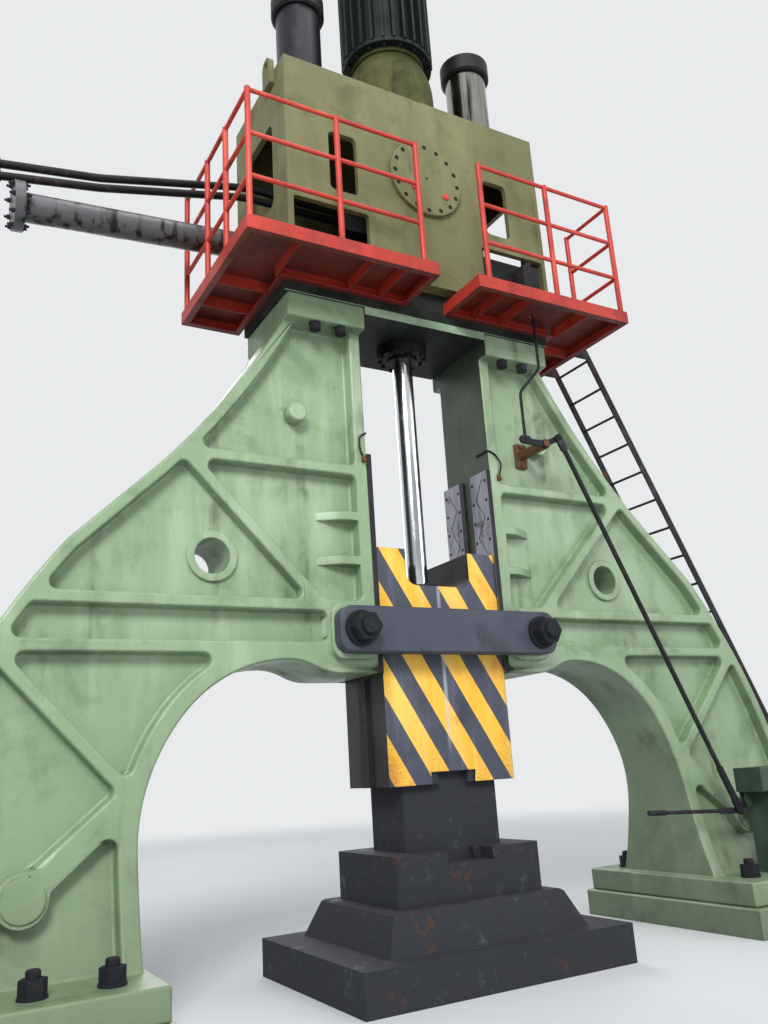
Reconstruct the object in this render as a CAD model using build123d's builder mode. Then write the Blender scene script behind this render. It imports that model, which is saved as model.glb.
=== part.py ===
from build123d import *
import os
from math import atan2, degrees, hypot, radians, sin, sqrt, tan

os.makedirs("parts", exist_ok=True)

# A two-column hydraulic forging hammer with an arch frame, at its real size in millimetres.
# X runs across the columns, -Y is the front where the operator stands, Z is up.
# The origin is on the floor, under the middle of the ram.

# Driving dimensions of the frame
column_depth = 600.0        # front rib face to rear rib face
throat_width = 1088.0       # between the inner faces of the columns
leg_bottom_z = 1920.0       # underside of the column beside the ram
arch_span = 4268.0          # clear width between the legs
arch_spring_z = 930.0       # where the arch turns into the straight leg
arch_crown_z = 2010.0
arch_round = 950.0          # how far the curve runs in from the leg
arch_fair_width = 364.0     # then it fades into the flat underside over this width
arch_flat_width = 60.0      # at least this much of the underside stays flat beside the ram
arch_tightening = 70.0      # the crown's radius is this much less than half the width
shoulder_x = 2048.0         # lower end of the hollow curve under the head
shoulder_z = 3219.0
shoulder_sag = 48.0
elbow_x = 2560.0            # lower end of the straight slope
elbow_z = 2715.0
leg_width = 1396.0          # outer face to inner face, at the foot
hip_inset_width = 190.0     # the bulging curve ends this far inside the leg's outer face
hip_z = 1250.0
hip_bulge = 78.0
flare_start_z = 1400.0      # below this the leg widens front and back
flare_width = 180.0
pocket_depth = 100.0
pocket_radius = 46.0
pocket_least_side = 60.0    # corners beside a shorter side than this get a smaller radius
pocket_side_share = 0.4     # which is this share of that side
touch_gap = 0.01            # points closer than this are one corner
straight_angle = 172.0      # above this two edges meet smoothly
rim_width = 76.0            # rib that runs round the outside of the casting
inner_rim_width = 92.0      # rib along the ram side
arch_rim_width = 112.0      # rib that follows the arch
rib_width = 78.0
crutch_rib_width = 150.0    # broad rib down to the lifting boss

# Driving dimensions of the ribs and bosses on the columns
shelf_rib_z = 3343.0
sill_rib_z = 2369.0
haunch_rib_lap = 5.0        # the haunch rib covers the arch rib by this much
strut_top_x = 1865.0
strut_foot_x = 930.0
brace_top_width = 60.0      # the brace runs this far past the middle of the bulging curve
brace_top_z = 2140.0
brace_foot_width = 54.0     # and the arch rim this far inside the leg's inner face
brace_foot_z = 1150.0
crutch_top_z = 1309.0
boss_reach = 593.0          # the lifting boss is this far out from the leg's inner face
boss_z = 775.0
boss_radius = 134.0
boss_rim = 22.0
boss_proud = 99.0
tail_rib_width = 90.0
tail_rib_z = 560.0
hole_x = 1664.0
hole_z = 2677.0
hole_radius = 117.0
hole_boss_radius = 168.0
hole_boss_proud = 24.0
trunnion_x = 1068.0
trunnion_z = 3728.0
trunnion_radius = 70.0
trunnion_proud = 12.0
gusset_levels = (3005.0, 2690.0)
gusset_thickness = 62.0
gusset_reach = 400.0
gusset_flat = 40.0
gusset_sink = 6.0
gusset_tip_slope = 0.35     # steepness where it runs into the pocket's floor

# Driving dimensions of the feet
sole_thickness = 200.0
sole_overhang = 30.0
sole_margin = 40.0
sole_chamfer = 12.0
foot_flange_thickness = 170.0
foot_depth = 1700.0
foot_toe_width = 44.0       # the foot flange stands out this far under the arch
foot_heel_width = 110.0     # and this far on the outside
foot_stud_radius = 36.0
foot_nut_across = 118.0
foot_nut_height = 74.0
foot_stud_y = 640.0
foot_stud_inset_width = 240.0
foot_stud_pitch = 370.0
foot_stud_columns = 3
foot_stud_grip = 140.0
foot_stud_tail = 40.0
foot_washer_thickness = 14.0
foot_washer_radius = 72.0
foot_stud_chamfer = 8.0

# Driving dimensions of the column top
cap_bottom_z = 4416.0
cap_top_z = 4605.0
cap_outer_x = 1162.0
cap_overhang = 101.0
head_bolt_xs = (731.0, 933.0)
head_bolt_y = 350.0
head_bolt_radius = 24.0
head_bolt_head = 56.0
head_bolt_across = 80.0
head_bolt_grip = 150.0

# Driving dimensions of the tie bars
tie_half_length = 890.0
tie_bottom_z = 2040.0
tie_height = 308.0
tie_thickness = 100.0
tie_pad_proud = 58.0
tie_pad_border = 36.0
tie_corner = 96.0
tie_chamfer = 10.0
tie_bolt_inset_width = 146.0
tie_bolt_chamfer = 8.0
tie_pad_lap_width = 15.0    # the pads run this far past the ends of the bars
tie_bolt_radius = 56.0
tie_bolt_tail = 34.0
tie_washer_radius = 118.0
tie_washer_thickness = 22.0
tie_nut_across = 172.0
tie_nut_height = 96.0
fit_clearance = 0.5
moving_clearance = 0.3

# Driving dimensions of the ram and its guides
ram_width = 1008.0
ram_depth = 566.0
ram_top_z = 2799.0
notch_half_width = 268.0
notch_bottom_z = 2540.0
notch_radius = 84.0
guide_gap = 2.0
guide_top_z = 3480.0
guide_bolt_rows = 10
guide_bolt_ys = (100.0, 268.0)
guide_bolt_radius = 8.0
guide_bolt_head_radius = 13.0
guide_bolt_head = 9.0
guide_bolt_sink = 12.0
guide_bolt_depth = 50.0
groove_ys = (134.0, 234.0)
groove_bottom_z = 2070.0
groove_rise = 150.0
groove_turns = 10
groove_width = 10.0
groove_depth = 4.0
strip_root_half = 76.0      # half width of the guide strip on the ram's side
strip_tip_half = 54.0
strip_height = 22.0

# Driving dimensions of the dies
die_width = 756.0
die_depth = 448.0
die_parting_z = 1011.0
upper_die_height = 177.0
lower_die_height = 237.0
shank_half = 115.0
shank_height = 78.0
shank_flare = 10.0
die_chamfer = 8.0
key_width = 55.0
key_length = 540.0

# Driving dimensions of the anvil
anvil_base_width = 2000.0
anvil_base_depth = 1500.0
anvil_base_height = 240.0
anvil_shoulder_width = 1300.0
anvil_shoulder_depth = 1000.0
anvil_spread = 100.0
anvil_chamfer = 14.0
anvil_block_height = 470.0
anvil_cap_width = 1120.0
anvil_cap_depth = 820.0

# Driving dimensions of the cylinder
rod_radius = 77.5
rod_bore_clearance = 0.3
spigot_radius = 55.0
rod_seat_depth = 170.0
rod_collar_radius = 150.0
rod_collar_height = 44.0
collar_bolts_count = 8
collar_bolt_across = 26.0
collar_bolt_head = 16.0
gland_radius = 200.0
gland_bottom_z = 4445.0
gland_lip = 25.0
gland_lip_radius = 120.0
neck_radius = 150.0
gland_bolts_count = 12
gland_bolt_circle = 176.0
gland_bolt_radius = 11.0
gland_bolt_across = 34.0
gland_bolt_head = 18.0
gland_bolt_grip = 55.0
barrel_radius = 205.0
barrel_bottom_z = 4700.0
barrel_top_z = 6505.0
bore_radius = 150.0
piston_clearance = 0.3
piston_height = 140.0
piston_bottom_z = 4712.0
barrel_cap = 45.0
barrel_chamfer = 20.0

# Driving dimensions of the head
beam_depth = 802.0
beam_drop = 60.0
beam_top_z = 4850.0
box_width = 2366.0
box_depth = 1024.0
box_top_z = 6566.0
box_wall = 45.0
box_chamfer = 8.0
window_inset_width = 469.0  # middle of the window to the box's side
window_width = 238.0
window_bottom_z = 5472.0
window_height = 512.0
window_radius = 44.0
door_inner_x = 521.0        # the lower openings run from here to the side wall
door_height = 433.0
door_radius = 24.0
side_opening_front_y = -255.0
side_opening_back_y = 300.0
side_opening_bottom_z = 5400.0
side_opening_height = 720.0
side_opening_radius = 60.0
cover_x = 15.0
cover_z = 5793.0
cover_radius = 328.0
cover_thickness = 36.0
cover_chamfer = 6.0
cover_hole_radius = 245.0
cover_eye_radius = 12.0
cover_bolts_count = 16
cover_bolt_circle = 290.0
cover_bolt_radius = 12.0
cover_head_radius = 19.0
cover_head_height = 15.0
cover_sink = 22.0
plug_places = [(-110.0, 5682.0), (180.0, 5667.0)]
plug_radius = 26.0
plug_height = 14.0
plug_chamfer = 4.0
lug_y = -264.0
lug_bottom_z = 6430.0
lug_eye_z = 6620.0
lug_width = 140.0
lug_hole_radius = 34.0
lug_thickness = 40.0

# Driving dimensions of the valve, the manifold and the pipes
valve_side_gap = 38.0       # between the valve block and the side wall
valve_front_gap = 27.0
valve_width = 540.0
valve_depth = 190.0
valve_height = 395.0
spool_inset_width = 160.0   # the spool's axis to the valve block's right side
spool_reach = 38.0          # its housing reaches this far in front of the rods
spool_width = 160.0
spool_height = 300.0
spool_lift = 5.0            # the spool housing clears the sill of the opening by this much
spool_cap_radius = 34.0
spool_cap_height = 40.0
spool_bore_depth = 230.0
manifold_reach = 420.0
manifold_width = 180.0
manifold_bottom_z = 5590.0
manifold_height = 320.0
manifold_chamfer = 8.0
pipe_y = 150.0
pipe_radius = 29.0
pipe_bend = 900.0
upper_pipe_xz = ((-1250.0, 5790.0), (-2364.0, 5530.0), (-3029.0, 5440.0))
lower_pipe_xz = ((-1250.0, 5700.0), (-2361.0, 5449.0), (-3022.0, 5345.0))
union_across = 76.0
union_length = 110.0
return_radius = 100.0
return_start_z = 5256.0
return_end_x = -2900.0
return_end_z = 5140.0
return_flange = 34.0
return_flange_radius = 172.0
return_wall_radius = 140.0
return_bolts_count = 8
return_bolt_circle = 147.0
return_bolt_radius = 9.0
return_bolt_across = 30.0
return_bolt_tail = 36.0

# Driving dimensions of the drive on the roof
motor_y = -105.0
bell_radius = 378.0
bell_height = 600.0
bell_wall = 26.0
bell_foot = 26.0
bell_flange = 34.0
bell_straight = 250.0
bell_top_radius = 292.0
bell_lean = 0.55            # how far its side leans in at the top
bell_hole_radius = 120.0
pump_radius = 170.0
pump_height = 230.0
pump_boss_radius = 70.0
pump_boss_height = 54.0
pump_room = 5.0
shaft_dip = 30.0            # how far the shaft reaches into the pump
motor_radius = 400.0
motor_height = 1080.0
motor_fins = 26
fin_depth = 66.0
fin_thickness = 22.0
fin_root = 8.0
motor_ring_radius = 388.0
motor_ring = 34.0
motor_wall = 44.0
cowl_height = 210.0
cowl_chamfer = 40.0
cowl_wall = 12.0
cowl_slots = 16
cowl_slot_circle_radius = 230.0
cowl_slot_length = 170.0
cowl_slot_width = 24.0
rotor_radius = 240.0
rotor_room = 120.0
fan_hub_radius = 80.0
fan_hub_height = 90.0
fan_lift = 84.0
fan_blades = 8
fan_blade_circle_radius = 200.0
fan_blade_length = 250.0
fan_blade_thickness = 10.0
fan_blade_height = 70.0
shaft_radius = 34.0
accumulator_inset_width = 333.0
accumulator_y = -100.0
accumulator_radius = 185.0
accumulator_height = 814.0
accumulator_foot = 34.0
accumulator_foot_radius = 130.0
accumulator_shoulder = 60.0
accumulator_lift = 0.2      # how steeply the shoulder starts
accumulator_cap_radius = 222.0
accumulator_cap_height = 180.0
accumulator_cap_chamfer = 18.0

# Driving dimensions of the platforms
deck_top_z = 4781.0
deck_plate = 12.0
deck_frame = 100.0
deck_web = 10.0
deck_toe = 50.0
deck_bars = (430.0, 690.0, 1250.0)
deck_side_bars = (-170.0, 170.0)
deck_hole_radius = 24.0
deck_side_width = 467.0
deck_front_y = -895.0
deck_back_y = 518.0
deck_left_inner_x = -180.0
deck_right_inner_x = 166.0
rail_height = 1000.0
rail_mid = 655.0
rail_low = 322.0
post_radius = 21.0
rail_radius = 16.0
post_inset = 34.0
post_xs = (288.0, 947.0)
left_side_post_ys = (-420.0, -20.0)
ladder_gate_ys = (-355.0, 260.0)

# Driving dimensions of the ladder
ladder_gap_width = 110.0    # at least this much between the deck's edge and the top of the ladder
ladder_hip_gap = 40.0       # and at least this much between its rails and the bulge of the column
ladder_top_z = 4768.0
ladder_slope = 64.0
ladder_front_y = -237.0
ladder_back_y = 179.0
ladder_rail_width = 60.0
ladder_rail_thickness = 12.0
ladder_arm_height = 60.0
ladder_shoe = 12.0
ladder_shoe_length = 180.0
ladder_shoe_width = 90.0
ladder_rungs = 19
ladder_pitch = 246.0
ladder_rung_radius = 11.0
ladder_rung_gap = 0.1       # between a rung's end and the rail, where the weld is

# Driving dimensions of the control linkage
link_gap_depth = 40.0       # the rods run this far in front of the head box
rocker_inset_width = 391.0  # the rocker's pivot to the column's inner face
rocker_z = 3665.0
lever_arm = 134.0
pull_arm = 215.0
rod_foot_reach = 302.0      # the push rod's foot pin to the leg's inner face
rod_foot_z = 832.0
link_pin_radius = 13.0
link_pin_room = 6.0
link_pin_length = 40.0
link_plate = 20.0
link_plate_back = 24.0      # the plates run this far behind the rods
link_gap = 3.0
pivot_radius = 20.0
pivot_lip = 8.0
rocker_width = 46.0
rocker_hub_radius = 38.0
rod_eye = 20.0
rod_eye_radius = 32.0
rod_flat = 90.0
rod_round = 60.0
push_thick_length = 300.0
push_thick_radius = 26.0
bracket_width = 110.0
bracket_height = 210.0
bracket_corner = 14.0
bracket_base = 22.0
bracket_post = 64.0
bracket_bolt_z = 82.0
bracket_bolt_across = 34.0
bracket_bolt_head = 14.0
handle_flat = 180.0
handle_lap = 30.0
handle_radius = 14.0
grip_radius = 19.0
grip_length = 160.0
valve_eye_length = 110.0
valve_slot_room = 5.0
valve_joggle_bottom_z = 4060.0
valve_joggle_top_z = 4300.0
valve_top_z = 5060.0
valve_bend = 90.0
cheek_thickness = 14.0
cheek_half = 40.0
handle_reach = 936.0
handle_end_z = 880.0
valve_rod_radius = 12.0
push_rod_radius = 19.0
pedestal_nose_width = 54.0  # from the push rod's foot pin to the pedestal
pedestal_step_width = 110.0
pedestal_width = 420.0
pedestal_step_z = 964.0
pedestal_wall = 12.0
pedestal_chamfer = 10.0
pedestal_top_z = 1143.0
pedestal_front_reach = 208.0
pedestal_back_reach = 52.0

# Sizes that follow from those above
half_depth = column_depth / 2
throat = throat_width / 2
arch_x = arch_span / 2
arch_crown_x = arch_x - arch_round
arch_fair_x = max(arch_crown_x - arch_fair_width, throat + arch_flat_width)
ankle_x = arch_x + leg_width
hip_x = ankle_x - hip_inset_width
boss_x = arch_x + boss_reach
tail_rib_x = ankle_x - tail_rib_width
brace_top_x = (elbow_x + hip_x) / 2 + brace_top_width
brace_foot_x = arch_x - brace_foot_width
foot_inner_x = arch_x - foot_toe_width
foot_outer_x = ankle_x + foot_heel_width
foot_stud_first_x = foot_inner_x + foot_stud_inset_width
arch_rz = arch_crown_z - arch_spring_z
arch_crown_radius = arch_round - arch_tightening
arch_drop = arch_rz - arch_crown_radius
arch_side_radius = (arch_round**2 + arch_drop**2 - arch_crown_radius**2) / (2 * arch_tightening)
arch_side_x = arch_x - arch_side_radius
arch_turn = degrees(atan2(arch_drop, arch_side_radius - arch_round))
foot_top_z = sole_thickness + foot_flange_thickness
tie_z = tie_bottom_z + tie_height / 2
tie_bolt_x = tie_half_length - tie_bolt_inset_width
pad_outer_x = tie_half_length + tie_pad_lap_width
pad_y = half_depth + tie_pad_proud
tie_front_y = pad_y + tie_thickness
ram_bottom_z = die_parting_z + upper_die_height
notch_cut = ram_top_z + notch_radius - notch_bottom_z
die_bottom_z = die_parting_z - lower_die_height
beam_middle_z = cap_top_z - beam_drop
box_half = box_width / 2
box_front_y = -box_depth / 2
wall_inner = box_half - box_wall
beam_half_width = box_half
window_x = box_half - window_inset_width
door_width = wall_inner - door_inner_x
link_y = box_front_y - link_gap_depth
box_floor_z = beam_top_z + box_wall
box_roof_z = box_top_z - box_wall
deck_bottom_z = deck_top_z - deck_frame
pocket_floor_y = half_depth - pocket_depth
haunch_rib_z = arch_crown_z + arch_rim_width - rib_width / 2 + haunch_rib_lap
hole_boss_y = pocket_floor_y + hole_boss_proud
lifting_boss_y = half_depth + boss_proud
trunnion_y = half_depth + trunnion_proud
gusset_bend_x = throat + inner_rim_width + gusset_flat
gusset_tip_x = throat + gusset_reach
tie_bolt_end_y = tie_front_y + tie_washer_thickness + tie_nut_height + tie_bolt_tail
foot_stud_reach = foot_flange_thickness + foot_washer_thickness + foot_nut_height + foot_stud_tail
foot_stud_length = foot_stud_grip + foot_stud_reach
foot_stud_xs = [foot_stud_first_x + k * foot_stud_pitch for k in range(foot_stud_columns)]
foot_stud_places = [(x, y) for x in foot_stud_xs for y in (-foot_stud_y, foot_stud_y)]
head_bolt_places = [(x, y) for x in head_bolt_xs for y in (-head_bolt_y, head_bolt_y)]

# Guide rails follow the flanks of the strips on the ram
strip_slope = (strip_root_half - strip_tip_half) / strip_height
guide_slack = guide_gap * (sqrt(1 + strip_slope**2) - strip_slope)
guide_face_x = ram_width / 2 + guide_gap
guide_tip_x = ram_width / 2 + strip_height + guide_gap
guide_bevel_y = strip_root_half + guide_slack
guide_back_y = strip_tip_half + guide_slack
guide_row_pitch = (guide_top_z - leg_bottom_z) / guide_bolt_rows
guide_bolt_zs = [leg_bottom_z + (k + 0.5) * guide_row_pitch for k in range(guide_bolt_rows)]
guide_bolt_places = [(side * y, z) for side in (-1, 1) for y in guide_bolt_ys for z in guide_bolt_zs]
groove_points = [(groove_ys[k % 2], groove_bottom_z + k * groove_rise) for k in range(groove_turns)]

# Places in the head box
window_z = window_bottom_z + window_height / 2
door_x = door_inner_x + door_width / 2
door_z = box_floor_z + door_height / 2
side_opening_y = (side_opening_front_y + side_opening_back_y) / 2
side_opening_width = side_opening_back_y - side_opening_front_y
side_opening_z = side_opening_bottom_z + side_opening_height / 2
cover_seat_y = box_depth / 2 + cover_thickness - cover_sink
valve_right_x = wall_inner - valve_side_gap
valve_left_x = valve_right_x - valve_width
valve_front_y = box_front_y + box_wall + valve_front_gap
valve_back_y = valve_front_y + valve_depth
valve_z = box_floor_z + valve_height / 2
spool_x = valve_right_x - spool_inset_width
spool_front_y = link_y - spool_reach
spool_bottom_z = box_floor_z + spool_lift

# Places on the roof
motor_plane = Plane(origin=(0, motor_y, 0), x_dir=(1, 0, 0), z_dir=(0, -1, 0))
motor_axis = Axis((0, motor_y, 0), (0, 0, 1))
bell_top_z = box_top_z + bell_height
bell_dome_z = box_top_z + bell_straight
motor_top_z = bell_top_z + motor_height
motor_core_radius = motor_radius - fin_depth
pump_top_z = box_top_z + pump_height + pump_boss_height
shaft_bottom_z = pump_top_z - shaft_dip
rotor_bottom_z = bell_top_z + motor_ring + rotor_room
rotor_top_z = motor_top_z - motor_ring - rotor_room
fan_z = motor_top_z + fan_lift
accumulator_x = box_half - accumulator_inset_width
accumulator_top_z = box_top_z + accumulator_height
accumulator_shoulder_z = box_top_z + accumulator_foot + accumulator_shoulder

# Routes of the pipes
return_start = Vector(-box_half + box_wall / 2, pipe_y, return_start_z)
return_end = Vector(return_end_x, pipe_y, return_end_z)
return_way = return_end - return_start
return_unit = return_way.normalized()
upper_pipe_route = [(-manifold_reach, pipe_y, upper_pipe_xz[0][1])]
upper_pipe_route += [(x, pipe_y, z) for x, z in upper_pipe_xz]
lower_pipe_route = [(-manifold_reach, pipe_y, lower_pipe_xz[0][1])]
lower_pipe_route += [(x, pipe_y, z) for x, z in lower_pipe_xz]

# Places of the railing posts
deck_outer_x = beam_half_width + deck_side_width
post_front_y = deck_front_y + post_inset
post_side_x = deck_outer_x - post_inset
post_back_y = deck_back_y - post_inset
left_front_posts = [(-x, post_front_y) for x in post_xs]
left_side_posts = [(-post_side_x, y) for y in (post_front_y, *left_side_post_ys, post_back_y)]
left_posts = left_front_posts + left_side_posts
left_rails = [
    ((-post_xs[0], post_front_y), (-post_side_x, post_front_y)),
    ((-post_side_x, post_front_y), (-post_side_x, post_back_y)),
]
right_front_posts = [(x, post_front_y) for x in post_xs]
right_side_posts = [(post_side_x, y) for y in (post_front_y, *ladder_gate_ys, post_back_y)]
right_posts = right_front_posts + right_side_posts
right_rails = [
    ((post_xs[0], post_front_y), (post_side_x, post_front_y)),
    ((post_side_x, post_front_y), (post_side_x, ladder_gate_ys[0])),
    ((post_side_x, ladder_gate_ys[1]), (post_side_x, post_back_y)),
]

# Pins of the control linkage; the push rod is square to both of its arms
plate_y = link_y + link_plate_back
rocker_x = throat + rocker_inset_width
rod_foot_x = arch_x + rod_foot_reach
handle_end_x = rod_foot_x - handle_reach
foot_pin = (rod_foot_x, rod_foot_z)
pivot_reach = Vector(rocker_x - rod_foot_x, rocker_z - rod_foot_z)
pivot_way = pivot_reach.normalized()
arm_sine = lever_arm / pivot_reach.length
arm_cosine = sqrt(1 - arm_sine**2)
arm_way_x = pivot_way.Y * arm_cosine - pivot_way.X * arm_sine
arm_way_z = -pivot_way.X * arm_cosine - pivot_way.Y * arm_sine
rocker_pin = (rocker_x + lever_arm * arm_way_x, rocker_z + lever_arm * arm_way_z)
pull_pin = (rocker_x - pull_arm, rocker_z)
lever_hub = (rod_foot_x + lever_arm * arm_way_x, rod_foot_z + lever_arm * arm_way_z)
push_foot = Vector(foot_pin[0], link_y, foot_pin[1])
push_head = Vector(rocker_pin[0], link_y, rocker_pin[1])
push_unit = (push_head - push_foot).normalized()
push_start = push_foot + push_unit * rod_round
push_end = push_head - push_unit * rod_round
push_collar = push_start + push_unit * push_thick_length
foot_flat = push_foot + push_unit * rod_flat
head_flat = push_head - push_unit * rod_flat
handle_end = Vector(handle_end_x, plate_y, handle_end_z)
handle_origin = Vector(foot_pin[0], plate_y, foot_pin[1])
handle_unit = (handle_end - handle_origin).normalized()
handle_start = handle_origin + handle_unit * (handle_flat - handle_lap)
handle_root = handle_origin + handle_unit * handle_flat
handle_grip = handle_end - handle_unit * grip_length
valve_route = [
    (pull_pin[0], link_y, pull_pin[1] + rod_eye_radius / 2),
    (pull_pin[0], link_y, valve_joggle_bottom_z),
    (spool_x, link_y, valve_joggle_top_z),
    (spool_x, link_y, valve_top_z),
]
cheek_front_y = plate_y - link_plate / 2 - link_gap - cheek_thickness / 2
cheek_back_y = plate_y + link_plate / 2 + link_gap + cheek_thickness / 2
pedestal_left_x = rod_foot_x + pedestal_nose_width
pedestal_step_x = pedestal_left_x + pedestal_step_width
pedestal_right_x = pedestal_left_x + pedestal_width
pedestal_front_y = link_y - pedestal_front_reach
pedestal_back_y = link_y + pedestal_back_reach
pedestal_profile = [
    (pedestal_step_x, foot_top_z),
    (pedestal_right_x, foot_top_z),
    (pedestal_right_x, pedestal_top_z),
    (pedestal_left_x, pedestal_top_z),
    (pedestal_left_x, pedestal_step_z),
    (pedestal_step_x, pedestal_step_z),
]
pedestal_room = [
    (pedestal_step_x + pedestal_wall, foot_top_z),
    (pedestal_right_x - pedestal_wall, foot_top_z),
    (pedestal_right_x - pedestal_wall, pedestal_top_z - pedestal_wall),
    (pedestal_left_x + pedestal_wall, pedestal_top_z - pedestal_wall),
    (pedestal_left_x + pedestal_wall, pedestal_step_z + pedestal_wall),
    (pedestal_step_x + pedestal_wall, pedestal_step_z + pedestal_wall),
]


def rib_bar(x0, z0, x1, z1, width):
    """A straight rib drawn on the open sketch, from one point to the other."""
    length = hypot(x1 - x0, z1 - z0)
    angle = degrees(atan2(z1 - z0, x1 - x0))
    with Locations(Location(((x0 + x1) / 2, (z0 + z1) / 2), angle)):
        Rectangle(length, width, mode=Mode.SUBTRACT)


def beside(start, end, sag):
    """The middle of the chord between two points, moved square to it by the sag."""
    run = Vector(*end) - Vector(*start)
    middle = (Vector(*start) + Vector(*end)) / 2
    mover = Vector(run.Y, -run.X).normalized() * sag
    return (middle.X + mover.X, middle.Y + mover.Y)


def flare_face(inset):
    """The column seen from its side: upright above, spreading to the front and back below."""
    top_y = half_depth - inset
    foot_y = half_depth + flare_width - inset
    with BuildSketch(Plane.YZ) as face:
        with BuildLine():
            Line((0, sole_thickness), (foot_y, sole_thickness))
            Line((foot_y, sole_thickness), (foot_y, foot_top_z))
            TangentArc((top_y, flare_start_z), (foot_y, foot_top_z), tangent=(0, -1))
            Line((top_y, flare_start_z), (top_y, cap_top_z))
            Line((top_y, cap_top_z), (0, cap_top_z))
            mirror(about=Plane.YZ)
        make_face()
    return face.sketch


# Line of the ladder, clear of the deck and of the bulge of the column
hip_chord = hypot(hip_x - elbow_x, elbow_z - hip_z)
hip_radius = hip_chord**2 / (8 * hip_bulge) + hip_bulge / 2
hip_centre = beside((elbow_x, elbow_z), (hip_x, hip_z), hip_radius - hip_bulge)
ladder_lean = radians(ladder_slope)
ladder_reach = (hip_radius + ladder_hip_gap + ladder_rail_width / 2) / sin(ladder_lean)
ladder_hip_x = hip_centre[0] + ladder_reach - (ladder_top_z - hip_centre[1]) / tan(ladder_lean)
ladder_top_x = max(deck_outer_x + ladder_gap_width, ladder_hip_x)
ladder_half = ladder_rail_width / 2 / sin(ladder_lean)
ladder_foot_x = ladder_top_x + ladder_top_z / tan(ladder_lean)
rung_front_y = ladder_front_y + ladder_rail_thickness / 2 + ladder_rung_gap
rung_back_y = ladder_back_y - ladder_rail_thickness / 2 - ladder_rung_gap

# Outline of the right column, seen from the front
shoulder_middle = beside((cap_outer_x, cap_bottom_z), (shoulder_x, shoulder_z), shoulder_sag)
hip_middle = beside((elbow_x, elbow_z), (hip_x, hip_z), -hip_bulge)
with BuildSketch(Plane.XZ.offset(-foot_depth / 2)) as column_outline:
    with BuildLine():
        Polyline((throat, leg_bottom_z), (throat, cap_top_z), (cap_outer_x, cap_top_z))
        Line((cap_outer_x, cap_top_z), (cap_outer_x, cap_bottom_z))
        ThreePointArc((cap_outer_x, cap_bottom_z), shoulder_middle, (shoulder_x, shoulder_z))
        Line((shoulder_x, shoulder_z), (elbow_x, elbow_z))
        ThreePointArc((elbow_x, elbow_z), hip_middle, (hip_x, hip_z))
        Polyline((hip_x, hip_z), (ankle_x, foot_top_z), (ankle_x, sole_thickness), (arch_x, sole_thickness))
        Line((arch_x, sole_thickness), (arch_x, arch_spring_z))
        CenterArc((arch_side_x, arch_spring_z), arch_side_radius, 0, arch_turn)
        CenterArc((arch_crown_x, arch_spring_z + arch_drop), arch_crown_radius, arch_turn, 90 - arch_turn)
        fair_mid = ((arch_crown_x + arch_fair_x) / 2, (arch_crown_z + leg_bottom_z) / 2)
        fair = TangentArc((arch_crown_x, arch_crown_z), fair_mid, tangent=(-1, 0))
        TangentArc(fair_mid, (arch_fair_x, leg_bottom_z), tangent=fair % 1)
        Line((arch_fair_x, leg_bottom_z), (throat, leg_bottom_z))
    make_face()


def sharp_corners(sketch):
    """The corners of the open sketch's faces, without the joints where one edge runs on smoothly."""
    corners = []
    for face in sketch.faces():
        for corner in face.vertices():
            point = corner.center()
            starting = [e for e in face.edges() if (e @ 0 - point).length < touch_gap]
            ending = [e for e in face.edges() if (e @ 1 - point).length < touch_gap]
            ways = [e % 0 for e in starting] + [(e % 1) * -1 for e in ending]
            if len(ways) == 2 and ways[0].get_angle(ways[1]) < straight_angle:
                corners.append(corner)
    return corners


def shortest_side(sketch, corner):
    """Length of the shortest edge of the open sketch that ends at the corner."""
    point = corner.center()
    return min(e.length for e in sketch.edges() if min((e @ 0 - point).length, (e @ 1 - point).length) < touch_gap)


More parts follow.
